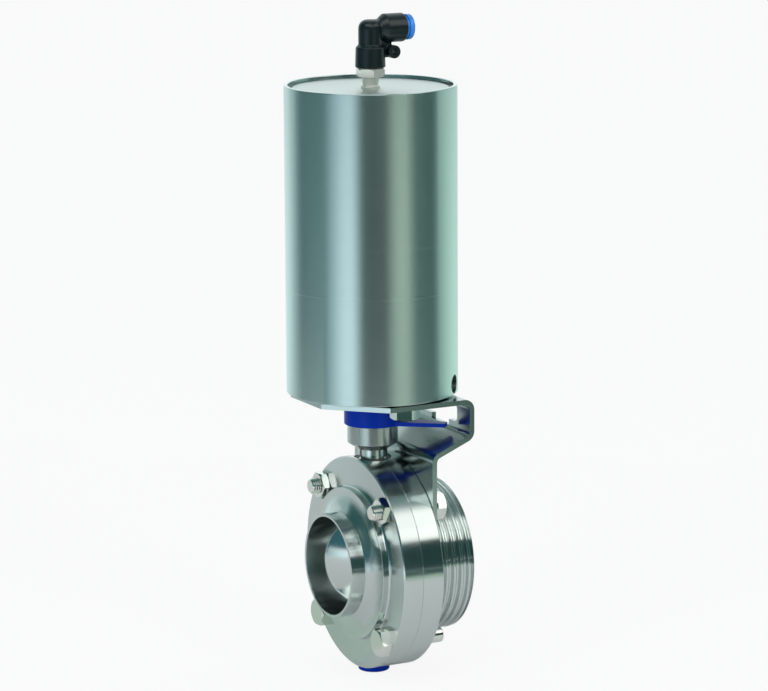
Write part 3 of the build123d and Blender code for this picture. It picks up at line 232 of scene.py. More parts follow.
def metal(name, roughness, colour=STEEL, marks=EVEN_GRAIN, height=0.0, axis="", fine=2500.0, metallic=1.0):
    """A metal that was turned about an axis, or else worked so that it has marks of these scales."""
    m, tree, shader = new_material(name, colour, roughness, metallic)
    if axis:
        lines = ring_marks(tree, axis, fine)
        shader.inputs["Anisotropic"].default_value = SMEAR
        shader.inputs["Anisotropic Rotation"].default_value = SMEAR_TURN
        around = add_node(tree, "ShaderNodeTangent")
        around.direction_type = "RADIAL"
        around.axis = axis
        tree.links.new(around.outputs["Tangent"], shader.inputs["Tangent"])
    else:
        lines = grain(tree, marks)
    uneven = spread(tree, lines, roughness * 0.75, roughness * 1.3)
    path = add_node(tree, "ShaderNodeLightPath")
    crisper = spread(tree, path.outputs["Is Glossy Ray"], 1.0, CRISPER_IN_MIRROR)
    tree.links.new(worked_out(tree, "MULTIPLY", uneven, crisper), shader.inputs["Roughness"])
    if height:
        bump(tree, shader, lines, height)
    finish[name] = m


metal("brushed_casing", 0.24, (0.56, 0.67, 0.655), height=1.6e-6, axis="Z", fine=2400.0)
metal("blasted_steel", 0.22, height=5e-7, axis="Y")
metal("polished_steel", 0.18, axis="Y")
metal("turned_steel", 0.25, (0.50, 0.55, 0.53), height=1e-6, axis="Z")
metal("lid_steel", 0.35, marks=(900, 900, 900))
metal("sheet_steel", 0.17, (0.43, 0.50, 0.49), (60, 1500, 1500), height=1e-6)
metal("bolt_steel", 0.13, (0.76, 0.78, 0.73), (700, 700, 700))
metal("dark_steel", 0.4, (0.18, 0.18, 0.19))
metal("spring_steel", 0.35, (0.35, 0.35, 0.36))
metal("piston_alloy", 0.4, (0.75, 0.76, 0.77))
metal("plated_brass", 0.22, (0.85, 0.86, 0.77), metallic=0.6)
print(len(finish), "metals")

# %% [markdown]
# The plastics and the rubber are not metal: most of their light comes back as colour, under a
# thin mirror that is the same for all of them. Only the blue plastic mirrors less, for it is dull.
# A very fine noise in the roughness keeps them from looking like glass. Light that wanders under
# the surface would be truer for the blue, but pieces this dark don't show it.

# %% Plastics and rubber
MOULD_GRAIN, MOULD_HEIGHT = (1200, 1200, 1200), 4e-6


def plastic(name, colour, roughness, gloss=0.5):
    """A moulded surface with a fine texture."""
    m, tree, shader = new_material(name, colour, roughness)
    fine = grain(tree, MOULD_GRAIN)
    tree.links.new(spread(tree, fine, roughness * 0.85, roughness * 1.2), shader.inputs["Roughness"])
    bump(tree, shader, fine, MOULD_HEIGHT)
    shader.inputs["Specular IOR Level"].default_value = gloss
    finish[name] = m


plastic("seal_rubber", (0.02, 0.02, 0.02), 0.6)
# The bearing plastic is painted dark grey instead of its own pale colour: painted shade for the shadow that
# the coupling casts round the stem.
plastic("bearing_plastic", (0.10, 0.10, 0.095), 0.5)
plastic("blue_plastic", (0.0, 0.028, 0.36), 0.3, gloss=0.08)
plastic("black_plastic", (0.003, 0.010, 0.013), 0.3)
plastic("pale_blue_plastic", (0.03, 0.24, 0.80), 0.25)

slot_of = {entry["node"]: entry["material_slot"] for entry in frame["record"]["subparts"]}
for node, slot in slot_of.items():
    nodes[node].data.materials.clear()
    nodes[node].data.materials.append(finish[slot])
print(len(finish), "finishes on", len(slot_of), "solids")

# %% [markdown]
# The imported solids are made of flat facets. That is good enough for checking a fit, but a polished
# surface shows each facet. So the pieces that show get a finer skin of the same size.
# Most are round: an outline of (radius, height) points is turned about an axis. A third number
# at a point rounds that corner, because a real corner is never quite sharp and its small round
# edge is what catches the light.

# %% Outlines


def on_arc(centre, start, end, t):
    """The point at a share t of an arc round a centre; start and end are counted from that centre."""
    sweep = start.angle(end)
    return centre + (start * math.sin((1 - t) * sweep) + end * math.sin(t * sweep)) / math.sin(sweep)


def rounded(points, steps=5):
    """A closed outline of (radius, height) points; a third number rounds that corner by it."""
    out = []
    for i, p in enumerate(points):
        here = Vector(p[:2])
        if len(p) < 3:
            out.append(here)
            continue
        before = Vector(points[i - 1][:2]) - here
        after = Vector(points[(i + 1) % len(points)][:2]) - here
        half = before.angle(after) / 2
        reach = p[2] / math.tan(half)
        centre = here + (before.normalized() + after.normalized()).normalized() * p[2] / math.sin(half)
        start = here + before.normalized() * reach - centre
        end = here + after.normalized() * reach - centre
        out += [on_arc(centre, start, end, k / steps) for k in range(steps + 1)]
    return out


print("a rounded corner is drawn with", len(rounded([(0, 0), (9, 0, 1), (9, 9)])) - 2, "points")

# %% [markdown]
# A turned piece needs to know which way its axis points. A matrix says so: it stands the local Z
# axis along the direction we want. The lathe then goes round that axis in steps and joins each
# ring of points to the next. Blender's screw modifier turns outlines too, but here each ring may
# differ a little from the last, and that is how the threads will be made.

# %% The lathe


def aim(z_dir, x_dir=X, origin=(0, 0, 0)):
    """A matrix that stands local Z along z_dir with local X along x_dir, at an origin in mm."""
    z = Vector(z_dir).normalized()
    x = (Vector(x_dir) - z * z.dot(Vector(x_dir))).normalized()
    y = z.cross(x)
    m = Matrix((x, y, z)).transposed().to_4x4()
    m.translation = Vector(origin)
    return m


def shape(verts, faces):
    """A mesh from points in mm, with doubled points merged and the faces turned outwards."""
    b = bmesh.new()
    made = [b.verts.new(Vector(v) * MM) for v in verts]
    for f in faces:
        b.faces.new([made[i] for i in f])
    bmesh.ops.remove_doubles(b, verts=b.verts, dist=1e-7)
    bmesh.ops.recalc_face_normals(b, faces=b.faces)
    mesh = bpy.data.meshes.new("shape")
    b.to_mesh(mesh)
    b.free()
    return mesh


def lathe(ring_at, frame_matrix, steps):
    """A body from closed rings of (radius, height) points; ring_at gives the ring at an angle."""
    verts, faces = [], []
    for s in range(steps):
        angle, t = math.tau * s / steps, (s + 1) % steps
        ring = ring_at(angle)
        n = len(ring)
        verts += [frame_matrix @ Vector((r * math.cos(angle), r * math.sin(angle), h)) for r, h in ring]
        for k in range(n):
            j = (k + 1) % n
            on_axis, next_on_axis = ring[k][0] < 1e-6, ring[j][0] < 1e-6
            if on_axis and next_on_axis:
                continue
            quad = (s * n + k, t * n + k, t * n + j, s * n + j)
            if on_axis:
                quad = (s * n + k, t * n + j, s * n + j)
            elif next_on_axis:
                quad = (s * n + k, t * n + k, s * n + j)
            faces.append(quad)
    return shape(verts, faces)


UPRIGHT = aim(Z)
ALONG_PIPE = aim(Y)


def turned(outline, frame_matrix=UPRIGHT, steps=192):
    """The closed outline turned a full circle about the local Z axis."""
    return lathe(lambda angle: outline, frame_matrix, steps)


def rod(radius, low, high, frame_matrix=UPRIGHT, steps=64, edge=0.0):
    """A plain round rod from low to high."""
    corner = (edge,) if edge else ()
    outline = [(0, low), (radius, low, *corner), (radius, high, *corner), (0, high)]
    return turned(rounded(outline), frame_matrix, steps)


# %% [markdown]
# Pieces that aren't round start as the tight skin round a few corner points, because a hull has
# no faces to get wrong. Holes and slots are cut with a boolean, as a drill or a saw cuts them:
# it costs some seconds, but every edge ends up where the tool would leave it.

# %% Blocks and cuts


def hull(points):
    """The tight skin round some points in mm."""
    b = bmesh.new()
    for p in points:
        b.verts.new(Vector(p) * MM)
    bmesh.ops.convex_hull(b, input=b.verts)
    bmesh.ops.dissolve_limit(b, angle_limit=0.002, verts=b.verts, edges=b.edges)
    mesh = bpy.data.meshes.new("hull")
    b.to_mesh(mesh)
    b.free()
    return mesh


def block(size, frame_matrix=UPRIGHT):
    """A block of this size, centred on the frame's origin."""
    signs = [(x, y, z) for x in (-1, 1) for y in (-1, 1) for z in (-1, 1)]
    return hull([frame_matrix @ Vector([s * length / 2 for s, length in zip(sign, size)]) for sign in signs])


def worn(o, *spare):
    """The mesh that an object's modifiers make of it; the object and the spare ones are removed."""
    made = bpy.data.meshes.new_from_object(o.evaluated_get(bpy.context.evaluated_depsgraph_get()))
    for old in (o, *spare):
        bpy.data.objects.remove(old)
    return made


def combine(first, second, how="DIFFERENCE"):
    """Cuts, joins or keeps the common part of two meshes."""
    a, b = put("first", first), put("second", second)
    m = a.modifiers.new("cut", "BOOLEAN")
    m.operation = how
    m.solver = "EXACT"
    m.object = b
    return worn(a, b)


def merged(*meshes):
    """One mesh that holds several, side by side."""
    b = bmesh.new()
    for m in meshes:
        b.from_mesh(m)
    mesh = bpy.data.meshes.new("merged")
    b.to_mesh(mesh)
    b.free()
    return mesh


# %% [markdown]
# A skin rides on the same body as its solid and stands in for it in the picture. Its faces are
# shaded smooth, except where two of them meet at a sharp angle. Weighted normals let the large
# flat faces win, so that a small rounded edge doesn't pull a shadow across its neighbours.

# %% Dress a solid
body_of = {n: b for b, members in frame["record"]["behaviour"]["bodies"].items() for n in members}
SHARP, SHARP_ON_HEXAGONS = 35, 20


def dress(node, mesh, sharp=SHARP):
    """Puts the mesh in the scene in place of the solid of that name."""
    mesh.name = node + "_skin"
    mesh.materials.clear()
    mesh.materials.append(finish[slot_of[node]])
    mesh.shade_smooth()
    mesh.set_sharp_from_angle(angle=math.radians(sharp))
    skin = put(node + "_skin", mesh)
    smooth = skin.modifiers.new("even", "WEIGHTED_NORMAL")
    smooth.keep_sharp = True
    smooth.weight = 100
    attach(skin, body_of[node])
    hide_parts(node)
    print(node, "has a skin of", len(mesh.polygons), "faces")


# %% [markdown]
# The actuator is a tube with a sunk lid. Near its foot a hole leads to the port of the chamber
# under the piston. The tube gets many steps round, because its edge against the white floor is
# the longest curve in the picture.

# %% Casing
CASING_R, CASING_INNER_R, CASING_FOOT, CASING_TOP = 43.25, 41.25, 88.6, 243.8
PORT_AZIMUTH, PORT_HEIGHT, PORT_R = 135, 94, 4.7

tube_outline = [
    (CASING_R, CASING_FOOT, 0.4),
    (CASING_R, CASING_TOP, 0.5),
    (CASING_INNER_R, CASING_TOP, 0.4),
    (CASING_INNER_R, CASING_FOOT, 0.3),
]
port_frame = aim(direction(PORT_AZIMUTH), Z, (0, 0, PORT_HEIGHT))
dress("casing", combine(turned(rounded(tube_outline), steps=360), rod(PORT_R, 35, 50, port_frame, 96)))

# %% [markdown]
# The lid has a wide shoulder that a ring holds down in the tube, and a smaller raised face with
# the hole for the air fitting. The dark gap round that face could be painted on, but the light
# sinks into it by itself when the two radii are drawn as they are.

# %% Lid
LID_R, LID_FACE_R, LID_HOLE_R = 41.2, 39.2, 4.9
LID_TOP, LID_SHOULDER, LID_FOOT = 242.1, 239.4, 230.9

lid_outline = [
    (LID_HOLE_R, LID_TOP),
    (LID_FACE_R, LID_TOP, 0.35),
    (LID_FACE_R, LID_SHOULDER),
    (LID_R, LID_SHOULDER, 0.2),
    (LID_R, LID_FOOT, 0.2),
    (LID_HOLE_R, LID_FOOT),
]
dress("lid", turned(rounded(lid_outline), steps=256))

# %% [markdown]
# The two halves of the valve body are turned about the pipe axis and meet at y = 0, round the
# rubber seat. The front half is one long outline: out along the split, over the rim, down the
# flange, up the hub, through the hollow to the weld end, and back along the bore.
# The hollow is part of a circle through three points that were read off the photograph. A
# circle needs fewer guesses than a free curve, and a form tool would cut just that.

# %% Front half of the body
BORE_R, SEAT_R, SEAT_RIB_R = 25.0, 31.5, 34.0
SEAT_HALF, SEAT_RIB_HALF = 6.5, 2.5
RIM_R, RIM_BEVEL, FRONT_Y, ROOT_FILLET = 54.3, 0.6, -10.8, 1.2
HUB_R, HUB_Y = 38.9, -14.6
SHOULDER_R, SHOULDER_Y = 27.5, -17.7
WELD_R, WELD_ROOT_Y, WELD_FACE_Y = 26.5, -18.3, -25.9


def arc_through(a, b, c, steps):
    """Points on the circle through a, b and c, from a to c."""
    aa, bb, cc = a.length_squared, b.length_squared, c.length_squared
    d = 2 * (a.x * (b.y - c.y) + b.x * (c.y - a.y) + c.x * (a.y - b.y))
    x = (aa * (b.y - c.y) + bb * (c.y - a.y) + cc * (a.y - b.y)) / d
    y = (aa * (c.x - b.x) + bb * (a.x - c.x) + cc * (b.x - a.x)) / d
    centre = Vector((x, y))
    return [on_arc(centre, a - centre, c - centre, k / steps) for k in range(steps + 1)]


flange_side = [
    (SEAT_RIB_R, 0.0),
    (RIM_R, 0.0, 0.3),
    (RIM_R, FRONT_Y + RIM_BEVEL, 0.15),
    (RIM_R - RIM_BEVEL, FRONT_Y, 0.15),
    (HUB_R + ROOT_FILLET, FRONT_Y),
]
fillet_centre = Vector((HUB_R + ROOT_FILLET, FRONT_Y - ROOT_FILLET))
fillet_angles = [math.radians(a) for a in range(0, 91, 15)]
hollow = arc_through(
    Vector((HUB_R - 0.3, HUB_Y)),
    Vector((SHOULDER_R + 0.42 * (HUB_R - SHOULDER_R), HUB_Y - 0.476)),
    Vector((SHOULDER_R, SHOULDER_Y)),
    24,
)
weld_side = [
    (SHOULDER_R, SHOULDER_Y),
    (WELD_R, WELD_ROOT_Y, 0.3),
    (WELD_R, WELD_FACE_Y, 0.25),
    (BORE_R, WELD_FACE_Y, 0.25),
    (BORE_R, -SEAT_HALF),
    (SEAT_R, -SEAT_HALF),
    (SEAT_R, -SEAT_RIB_HALF),
    (SEAT_RIB_R, -SEAT_RIB_HALF),
]
front_outline = rounded(flange_side)
front_outline += [fillet_centre + Vector((-math.sin(a), math.cos(a))) * ROOT_FILLET for a in fillet_angles]
front_outline += [Vector((HUB_R, HUB_Y + 0.3)), Vector((HUB_R - 0.1, HUB_Y + 0.1))]
front_outline += hollow + rounded(weld_side)[1:]
print("the front half's outline has", len(front_outline), "points")

# %% [markdown]
# Two holes come in from above and below for the bushes of the stem. They cross the split, so
# they can't be turned with the halves. They are drilled, and the same drills serve both halves.

# %% Holes for the stem
UPPER_BUSH_R, LOWER_BUSH_R = 9.5, 8.0
stem_holes = rod(UPPER_BUSH_R, 30, 60, UPRIGHT, 96), rod(LOWER_BUSH_R, -60, -30, UPRIGHT, 96)


def bored(half):
    """A body half with the two stem holes cut into it."""
    for hole in stem_holes:
        half = combine(half, hole)
    return half


dress("body_front", bored(turned(front_outline, ALONG_PIPE, 300)))

# %% [markdown]
# The rear half ends in a coarse round thread. A turned outline can only give rings, so on the
# threaded length the radius also depends on the angle: it is a wave that slips on by one pitch in
# each turn. It starts gently, as a real thread runs in. Rings would look the same from afar, but
# close up the eye sees that a real thread leans.

# %% Round thread
THREAD_R, THREAD_DEPTH, PITCH = 39.0, 1.9, 25.4 / 6
THREAD_FROM, THREAD_TO, RUN_IN = 13.6, 37.0, 1.5
FLATTENED = 1.5


def wave(y, angle):
    """Radius of the round thread at a place along the pipe and an angle round it."""
    swing = math.cos(math.tau * (y - THREAD_FROM) / PITCH - angle)
    swing = math.tanh(FLATTENED * swing) / math.tanh(FLATTENED)
    full = THREAD_R - THREAD_DEPTH / 2 + THREAD_DEPTH / 2 * swing
    start = min(1.0, max(0.0, (y - THREAD_FROM) / RUN_IN))
    return (THREAD_R - THREAD_DEPTH) * (1 - start) + full * start


def threaded(before, after, low, high, radius_at, frame_matrix, steps, rows):
    """A turned body whose middle stretch follows radius_at(height, angle)."""
    heights = [low + (high - low) * k / rows for k in range(rows + 1)]

    def ring_at(angle):
        return [*before, *((radius_at(h, angle), h) for h in heights), *after]

    return lathe(ring_at, frame_matrix, steps)


print("the round thread makes", round((THREAD_TO - THREAD_FROM) / PITCH, 1), "turns")

# %% [markdown]
# Before the thread comes the flange with its rim, and after it the flat end with the groove for
# the union's seal, then the bore and the pocket of the rubber seat. The picture shows little of
# these, but other views of the model do, so they are drawn as carefully as the front.

# %% Rear half of the body
REAR_Y, THREAD_FACE_Y = 11.6, 37.9
UNION_SEAL_R, UNION_SEAL_INNER_R, UNION_SEAL_Y, UNION_LIP_Y = 32.0, 27.5, 34.4, 36.15
root_r = THREAD_R - THREAD_DEPTH

before_thread = rounded(
    [
        (SEAT_RIB_R, 0.0),
        (RIM_R, 0.0, 0.3),
        (RIM_R, REAR_Y, 0.5),
        (root_r, REAR_Y),
        (root_r, 13.0),
    ]
)
after_thread = rounded(
    [
        (THREAD_R - 0.3, 37.2),
        (THREAD_R - 0.3, 37.3),
        (THREAD_R - 1.1, THREAD_FACE_Y, 0.3),
        (UNION_SEAL_R, THREAD_FACE_Y),
        (UNION_SEAL_R, UNION_SEAL_Y),
        (UNION_SEAL_INNER_R, UNION_SEAL_Y),
        (UNION_SEAL_INNER_R, UNION_LIP_Y),
        (BORE_R, UNION_LIP_Y),
        (BORE_R, SEAT_HALF),
        (SEAT_R, SEAT_HALF),
        (SEAT_R, SEAT_RIB_HALF),
        (SEAT_RIB_R, SEAT_RIB_HALF),
    ]
)
rear_half = threaded(before_thread, after_thread, THREAD_FROM, THREAD_TO, wave, ALONG_PIPE, 240, 150)
dress("body_rear", bored(rear_half))

# %% [markdown]
# The disc is a lens: two shallow domes back to back with a narrow rim. It stands 30 degrees from
# fully open, as in the photograph. Each dome is part of a sphere, which shows one clean, slow
# highlight. Its stem and trunnion are joined on, and above the body the stem has two flats
# that the coupling grips.

# %% Disc and stem
DISC_TURN = math.radians(60)
RIM_RADIUS, RIM_HALF, CENTRE_HALF, DOME_STEPS = 24.7, 1.5, 7.5, 40
STEM_R, TRUNNION_R, TANG_T, STEM_TOP = 7.0, 5.5, 12, 53.4

in_plane = Vector((math.cos(DISC_TURN), math.sin(DISC_TURN), 0))
disc_normal = Vector((-math.sin(DISC_TURN), math.cos(DISC_TURN), 0))
dome_rise = CENTRE_HALF - RIM_HALF
dome_r = (RIM_RADIUS**2 + dome_rise**2) / (2 * dome_rise)
dome_radii = [RIM_RADIUS * k / DOME_STEPS for k in range(DOME_STEPS)]
dome = [Vector((r, CENTRE_HALF - dome_r + math.sqrt(dome_r**2 - r**2))) for r in dome_radii]
rim = rounded([(0, 0), (RIM_RADIUS, RIM_HALF, 0.35), (RIM_RADIUS, -RIM_HALF, 0.35), (0, 0)])[1:-1]
far_dome = [Vector((p.x, -p.y)) for p in reversed(dome)]
disc = turned(dome + rim + far_dome, aim(disc_normal, Z), 240)

flats = block((TANG_T, 20, 40), aim(Z, in_plane, (0, 0, 60)))
tang = combine(rod(STEM_R, 52, 64, UPRIGHT, 96, 0.4), flats, "INTERSECT")
for added in (rod(STEM_R, 5, STEM_TOP, UPRIGHT, 96, 0.4), rod(TRUNNION_R, -50, -5, UPRIGHT, 96, 0.4), tang):
    disc = combine(disc, added, "UNION")
dress("disc", disc)

# %% [markdown]
# The stem runs in two plastic bushes. The upper one is a plain ring, and the lower one is closed
# below and shows as a blue cap under the rim. Only its outside can be seen, so a rod will do.

# %% Bushes
BUSH_BORE_R, BUSH_LOW = STEM_R + 0.08, 37.4
bush_outline = [
    (BUSH_BORE_R, BUSH_LOW),
    (UPPER_BUSH_R, BUSH_LOW),
    (UPPER_BUSH_R, STEM_TOP, 0.4),
    (BUSH_BORE_R, STEM_TOP, 0.3),
]
# The upper bush wears that dark bearing plastic, so its colour is painted shade under the coupling.
dress("upper_stem_bush", turned(rounded(bush_outline), steps=96))
dress("lower_stem_bush", rod(LOWER_BUSH_R, -57.4, -37.2, UPRIGHT, 96, 0.8))

# %% [markdown]
# A hexagon head is a hexagonal block with its corners turned off at a slant. Cutting a block
# with a turned button gives exactly the curved edges that a real head has, which a plain bevel
# can't give. A nut has them on both faces.

# %% Hexagons
M8_HEAD = 13


def hexagon(low, high, frame_matrix, both=False, turn=0.0):
    """A hexagon head with chamfered corners, or a nut with both its faces chamfered."""
    corner, flat_r = M8_HEAD / math.sqrt(3), M8_HEAD / 2 * 0.95
    angles = [math.radians(60 * k + turn) for k in range(6)]
    ring = [Vector((corner * math.cos(a), corner * math.sin(a), 0)) for a in angles]
    prism = hull([frame_matrix @ (p + Z * h) for p in ring for h in (low - 1, high + 1)])
    out_r = corner + 0.4
    drop = (out_r - flat_r) * 0.55
    button = [(0, low), (flat_r, low), (out_r, low + drop)] if both else [(0, low), (out_r, low)]
    button += [(out_r, high - drop), (flat_r, high), (0, high)]
    return combine(prism, turned(rounded(button), frame_matrix, 144), "INTERSECT")


print("the hexagons are", M8_HEAD, "mm across their flats")

# %% [markdown]
# The thread ends of the two upper bolts stand out towards the camera. Their thread is made like
# the round one, with a sharper wave, and its tip is slanted so that a nut can start on it.

# %% Bolt thread
THREAD_STEPS, ROWS_A_TURN, TIP = 72, 14, 0.8


def bolt_thread(radius, depth, pitch, low, high, frame_matrix):
    """A threaded rod end with a slanted tip."""

    def radius_at(h, angle):
        phase = ((h - low) / pitch - angle / math.tau) % 1.0
        flank = min(1.0, max(0.0, (abs(2 * phase - 1) - 0.08) / 0.84))
        start = min(1.0, (h - low) / (pitch * 0.6))
        r = radius - depth * (1 - flank) * start
        return min(r, radius - max(0.0, h - (high - TIP)))

    rows = int((high - low) / pitch * ROWS_A_TURN)
    return threaded([(0, low)], [(0, high)], low, high, radius_at, frame_matrix, THREAD_STEPS, rows)


# %% [markdown]
# Two bolts hold the bracket to the body above, with washers and heads behind and nuts in front.
# One of each is made and then copied to its two places.

# %% Bolts and washers
BOLT_OFFSET, M8_R, M8_PITCH = 33.588, 4, 1.25
WASHER_Y, HEAD_Y, HEAD_T = 14.1, 15.7, 5.3
backwards, forwards = aim(Y, X), aim(-Y, X)


def at_places(mesh, *places):
    """Copies of a mesh moved to some places in mm, merged into one mesh."""
    copies = []
    for spot in places:
        c = mesh.copy()
        c.transform(Matrix.Translation(Vector(spot) * MM))
        copies.append(c)
    return merged(*copies)


upper_left, upper_right = (-BOLT_OFFSET, 0, BOLT_OFFSET), (BOLT_OFFSET, 0, BOLT_OFFSET)
bolt = merged(
    hexagon(HEAD_Y, HEAD_Y + HEAD_T, backwards),
    rod(M8_R, -HEAD_Y, 13.6, forwards),
    bolt_thread(M8_R - 0.02, 0.7, M8_PITCH, 13.5, 19.0, forwards),
)
washer_outline = [(4.2, WASHER_Y), (8.0, WASHER_Y, 0.2), (8.0, HEAD_Y, 0.3), (4.2, HEAD_Y)]
washer = turned(rounded(washer_outline), backwards, 96)
dress("bracket_bolts", at_places(bolt, upper_left, upper_right), SHARP_ON_HEXAGONS)
dress("bracket_washers", at_places(washer, upper_left, upper_right))

# %% [markdown]
# A nut stops wherever it is tight. The two stand at different angles in the photograph, so the
# right one is turned by half a face. Copies that all face the same way look false at once.

# %% Nuts
NUT_T = 4.0
nut_hole = rod(4.05, 10, 16, forwards, 72)
left_nut, right_nut = (
    combine(hexagon(-FRONT_Y, -FRONT_Y + NUT_T, forwards, both=True, turn=a), nut_hole) for a in (0, 30)
)
both_nuts = merged(at_places(left_nut, upper_left), at_places(right_nut, upper_right))
dress("bracket_nuts", both_nuts, SHARP_ON_HEXAGONS)

# %% [markdown]
# Two screws with their heads in front hold the halves of the body together below. Two more come
# up through the bracket's plate into the actuator, so their heads hang under the plate, on
# either side of the coupling.

# %% Screws
PLATE_UNDER_Z, MOUNT_OFFSET = 85.5, 35
screw = merged(hexagon(-FRONT_Y, -FRONT_Y + HEAD_T, forwards), rod(M8_R, -20.6, 10.9, forwards, 64, 0.8))
lower_left, lower_right = (-BOLT_OFFSET, 0, -BOLT_OFFSET), (BOLT_OFFSET, 0, -BOLT_OFFSET)
dress("body_screws", at_places(screw, lower_left, lower_right), SHARP_ON_HEXAGONS)

down = aim(-Z, X, (0, 0, PLATE_UNDER_Z))
mounting_screw = merged(hexagon(0, HEAD_T, down), rod(M8_R, -11.5, 0.1, down))
mounting_screws = at_places(mounting_screw, (-MOUNT_OFFSET, 0, 0), (MOUNT_OFFSET, 0, 0))
dress("mounting_screws", mounting_screws, SHARP_ON_HEXAGONS)

# %% [markdown]
# The coupling joins the actuator's shaft to the stem. It is turned first and then slotted across,
# as in the workshop, so its two legs reach down beside the flats of the stem.

# %% Coupling
COUPLING_LOW, FORK_R, FORK_TOP = 55.0, 7.5, 58.6
COUPLING_R, CONE_TOP, NECK_R, NECK_LOW, COUPLING_TOP = 12.8, 62.0, 11.0, 71.45, 84.0
FORK_SLOT = 12.2

coupling_outline = [
    (0, COUPLING_LOW),
    (FORK_R, COUPLING_LOW, 0.3),
    (FORK_R, FORK_TOP),
    (COUPLING_R, CONE_TOP, 0.4),
    (COUPLING_R, NECK_LOW, 0.3),
    (NECK_R, NECK_LOW),
    (NECK_R, COUPLING_TOP, 0.3),
    (0, COUPLING_TOP),
]
slot_frame = aim(Z, in_plane, (0, 0, (COUPLING_LOW + FORK_TOP) / 2))
slot_cutter = block((FORK_SLOT, 30, FORK_TOP - COUPLING_LOW + 0.001), slot_frame)
dress("stem_coupling", combine(turned(rounded(coupling_outline), steps=192), slot_cutter))

# %% [markdown]
# The blue indicator sits on the coupling's neck and says how far the disc is open. It is a hub
# with a flat pointer that narrows towards its tip and reaches out through the bracket's window.
# It rides on the stem's body, so it turns with the disc.

# %% Indicator
POINTER_AZIMUTH, HUB_RADIUS, POINTER_T = 137, 14.4, 2.0
POINTER_SHAPE = ((0, 6.7), (36.4, 2.3), (38.4, 2.3))

pointer_frame = aim(Z, direction(POINTER_AZIMUTH), (0, 0, NECK_LOW))
pointer_corners = [Vector((x, y * s, 0)) for x, y in POINTER_SHAPE for s in (-1, 1)]
pointer = hull([pointer_frame @ (p + Z * h) for p in pointer_corners for h in (0, POINTER_T)])
hub = rod(HUB_RADIUS, NECK_LOW, COUPLING_TOP, UPRIGHT, 144, 0.4)
neck_hole = rod(NECK_R + 0.05, 70, 86, UPRIGHT, 144)
dress("position_indicator", combine(combine(pointer, hub, "UNION"), neck_hole))

# %% [markdown]
# The bracket is a bent sheet. Its faces are nearly all flat, and a flat face needs no finer skin,
# so this one solid serves as it is. Modifiers weld its facets together and round its edges a
# little, as a laser-cut and deburred sheet has them.

# %% Bracket
bracket = nodes["bracket"]
weld = bracket.modifiers.new("weld", "WELD")
weld.merge_threshold = 1e-6
bevel = bracket.modifiers.new("soften", "BEVEL")
bevel.width = 0.35 * MM
bevel.segments = 3
bevel.limit_method = "ANGLE"
bevel.angle_limit = math.radians(50)
bevel.use_clamp_overlap = True
smooth = bracket.modifiers.new("even", "WEIGHTED_NORMAL")
smooth.keep_sharp = True
print("the bracket keeps its solid, with", len(bracket.modifiers), "modifiers")

# %% [markdown]
# The air fitting stands on a bright stud: a thread in the lid, a collar, a neck, a hexagon for
# the spanner, and a spigot on which the elbow swivels. Its round parts are one outline, and the
# hexagon is laid over them without a boolean, because no seam shows where they cross.

# %% Stud
STUD_BORE_R, STUD_THREAD_R, STUD_COLLAR_R, STUD_NECK_R, SPIGOT_R = 2.5, 4.85, 4.9, 4.1, 4.5
COLLAR_TOP, HEX_LOW, HEX_HIGH, STUD_TOP = LID_TOP + 1.1, LID_TOP + 5.5, LID_TOP + 9.8, LID_TOP + 18.8

stud_outline = [
    (STUD_BORE_R, LID_TOP - 8.5),
    (4.05, LID_TOP - 8.5),
    (STUD_THREAD_R, LID_TOP - 7.7),
    (STUD_THREAD_R, LID_TOP),
    (STUD_COLLAR_R, LID_TOP),
    (STUD_COLLAR_R, COLLAR_TOP, 0.2),
    (STUD_NECK_R, COLLAR_TOP),
    (STUD_NECK_R, HEX_LOW),
    (SPIGOT_R, HEX_LOW),
    (SPIGOT_R, STUD_TOP),
    (STUD_BORE_R, STUD_TOP),
]
stud_hexagon = hexagon(HEX_LOW, HEX_HIGH, aim(Z, X), both=True, turn=45.6)
dress("fitting_stud", merged(turned(rounded(stud_outline), steps=96), stud_hexagon), SHARP_ON_HEXAGONS)

# %% [markdown]
# The black elbow is moulded plastic, which has no sharp inner corners. Rounding every join by hand
# would be slow, so its plain parts are laid into one another and melted: a remesh rebuilds their
# common skin on a fine grid, and smoothing lets the joins flow. The holes are cut afterwards,
# so that their edges stay crisp.

# %% Parts of the elbow
MELT_GRID = 0.2
ELBOW_LOW, BRANCH_Z, NECK = 252.1, 271.2, 5.95
SLEEVE_TOP, SHOULDER_TOP, CORNER_TOP = ELBOW_LOW + 10, ELBOW_LOW + 11.4, BRANCH_Z + 4.75
branch = aim(Y, X, (0, 0, BRANCH_Z))
eyelet = aim(X, Z, (0, 11.2, BRANCH_Z - 11.6))


def melted(mesh, grid):
    """Rebuilds a mesh on a fine grid, in mm, and smooths it, so that joined parts flow together."""
    o = put("melt", mesh)
    m = o.modifiers.new("melt", "REMESH")
    m.mode = "VOXEL"
    m.voxel_size = grid * MM
    m = o.modifiers.new("calm", "SMOOTH")
    m.factor = 0.5
    m.iterations = 6
    return worn(o)


sleeve = [
    (0, ELBOW_LOW),
    (7.6, ELBOW_LOW, 0.6),
    (7.3, SLEEVE_TOP, 0.3),
    (NECK, SHOULDER_TOP),
    (0, SHOULDER_TOP),
]
corner = [(0, ELBOW_LOW + 9.5), (NECK, ELBOW_LOW + 9.5), (NECK, CORNER_TOP, 4.4), (0, CORNER_TOP)]
socket = [(0, 4.4), (4.75, 4.4), (7.2, 7.6), (7.2, 18.1, 0.8), (0, 18.1)]
elbow = merged(
    turned(rounded(sleeve), steps=96),
    turned(rounded(corner), steps=96),
    rod(4.75, 0, 12, branch, 96),
    turned(rounded(socket), branch, 96),
    rod(3.3, -5, 5, eyelet, 64),
    block((3, 11.2, 11.5), aim(Z, X, (0, 5.6, BRANCH_Z - 8.75))),
)
print("the elbow starts as", len(elbow.polygons), "faces")

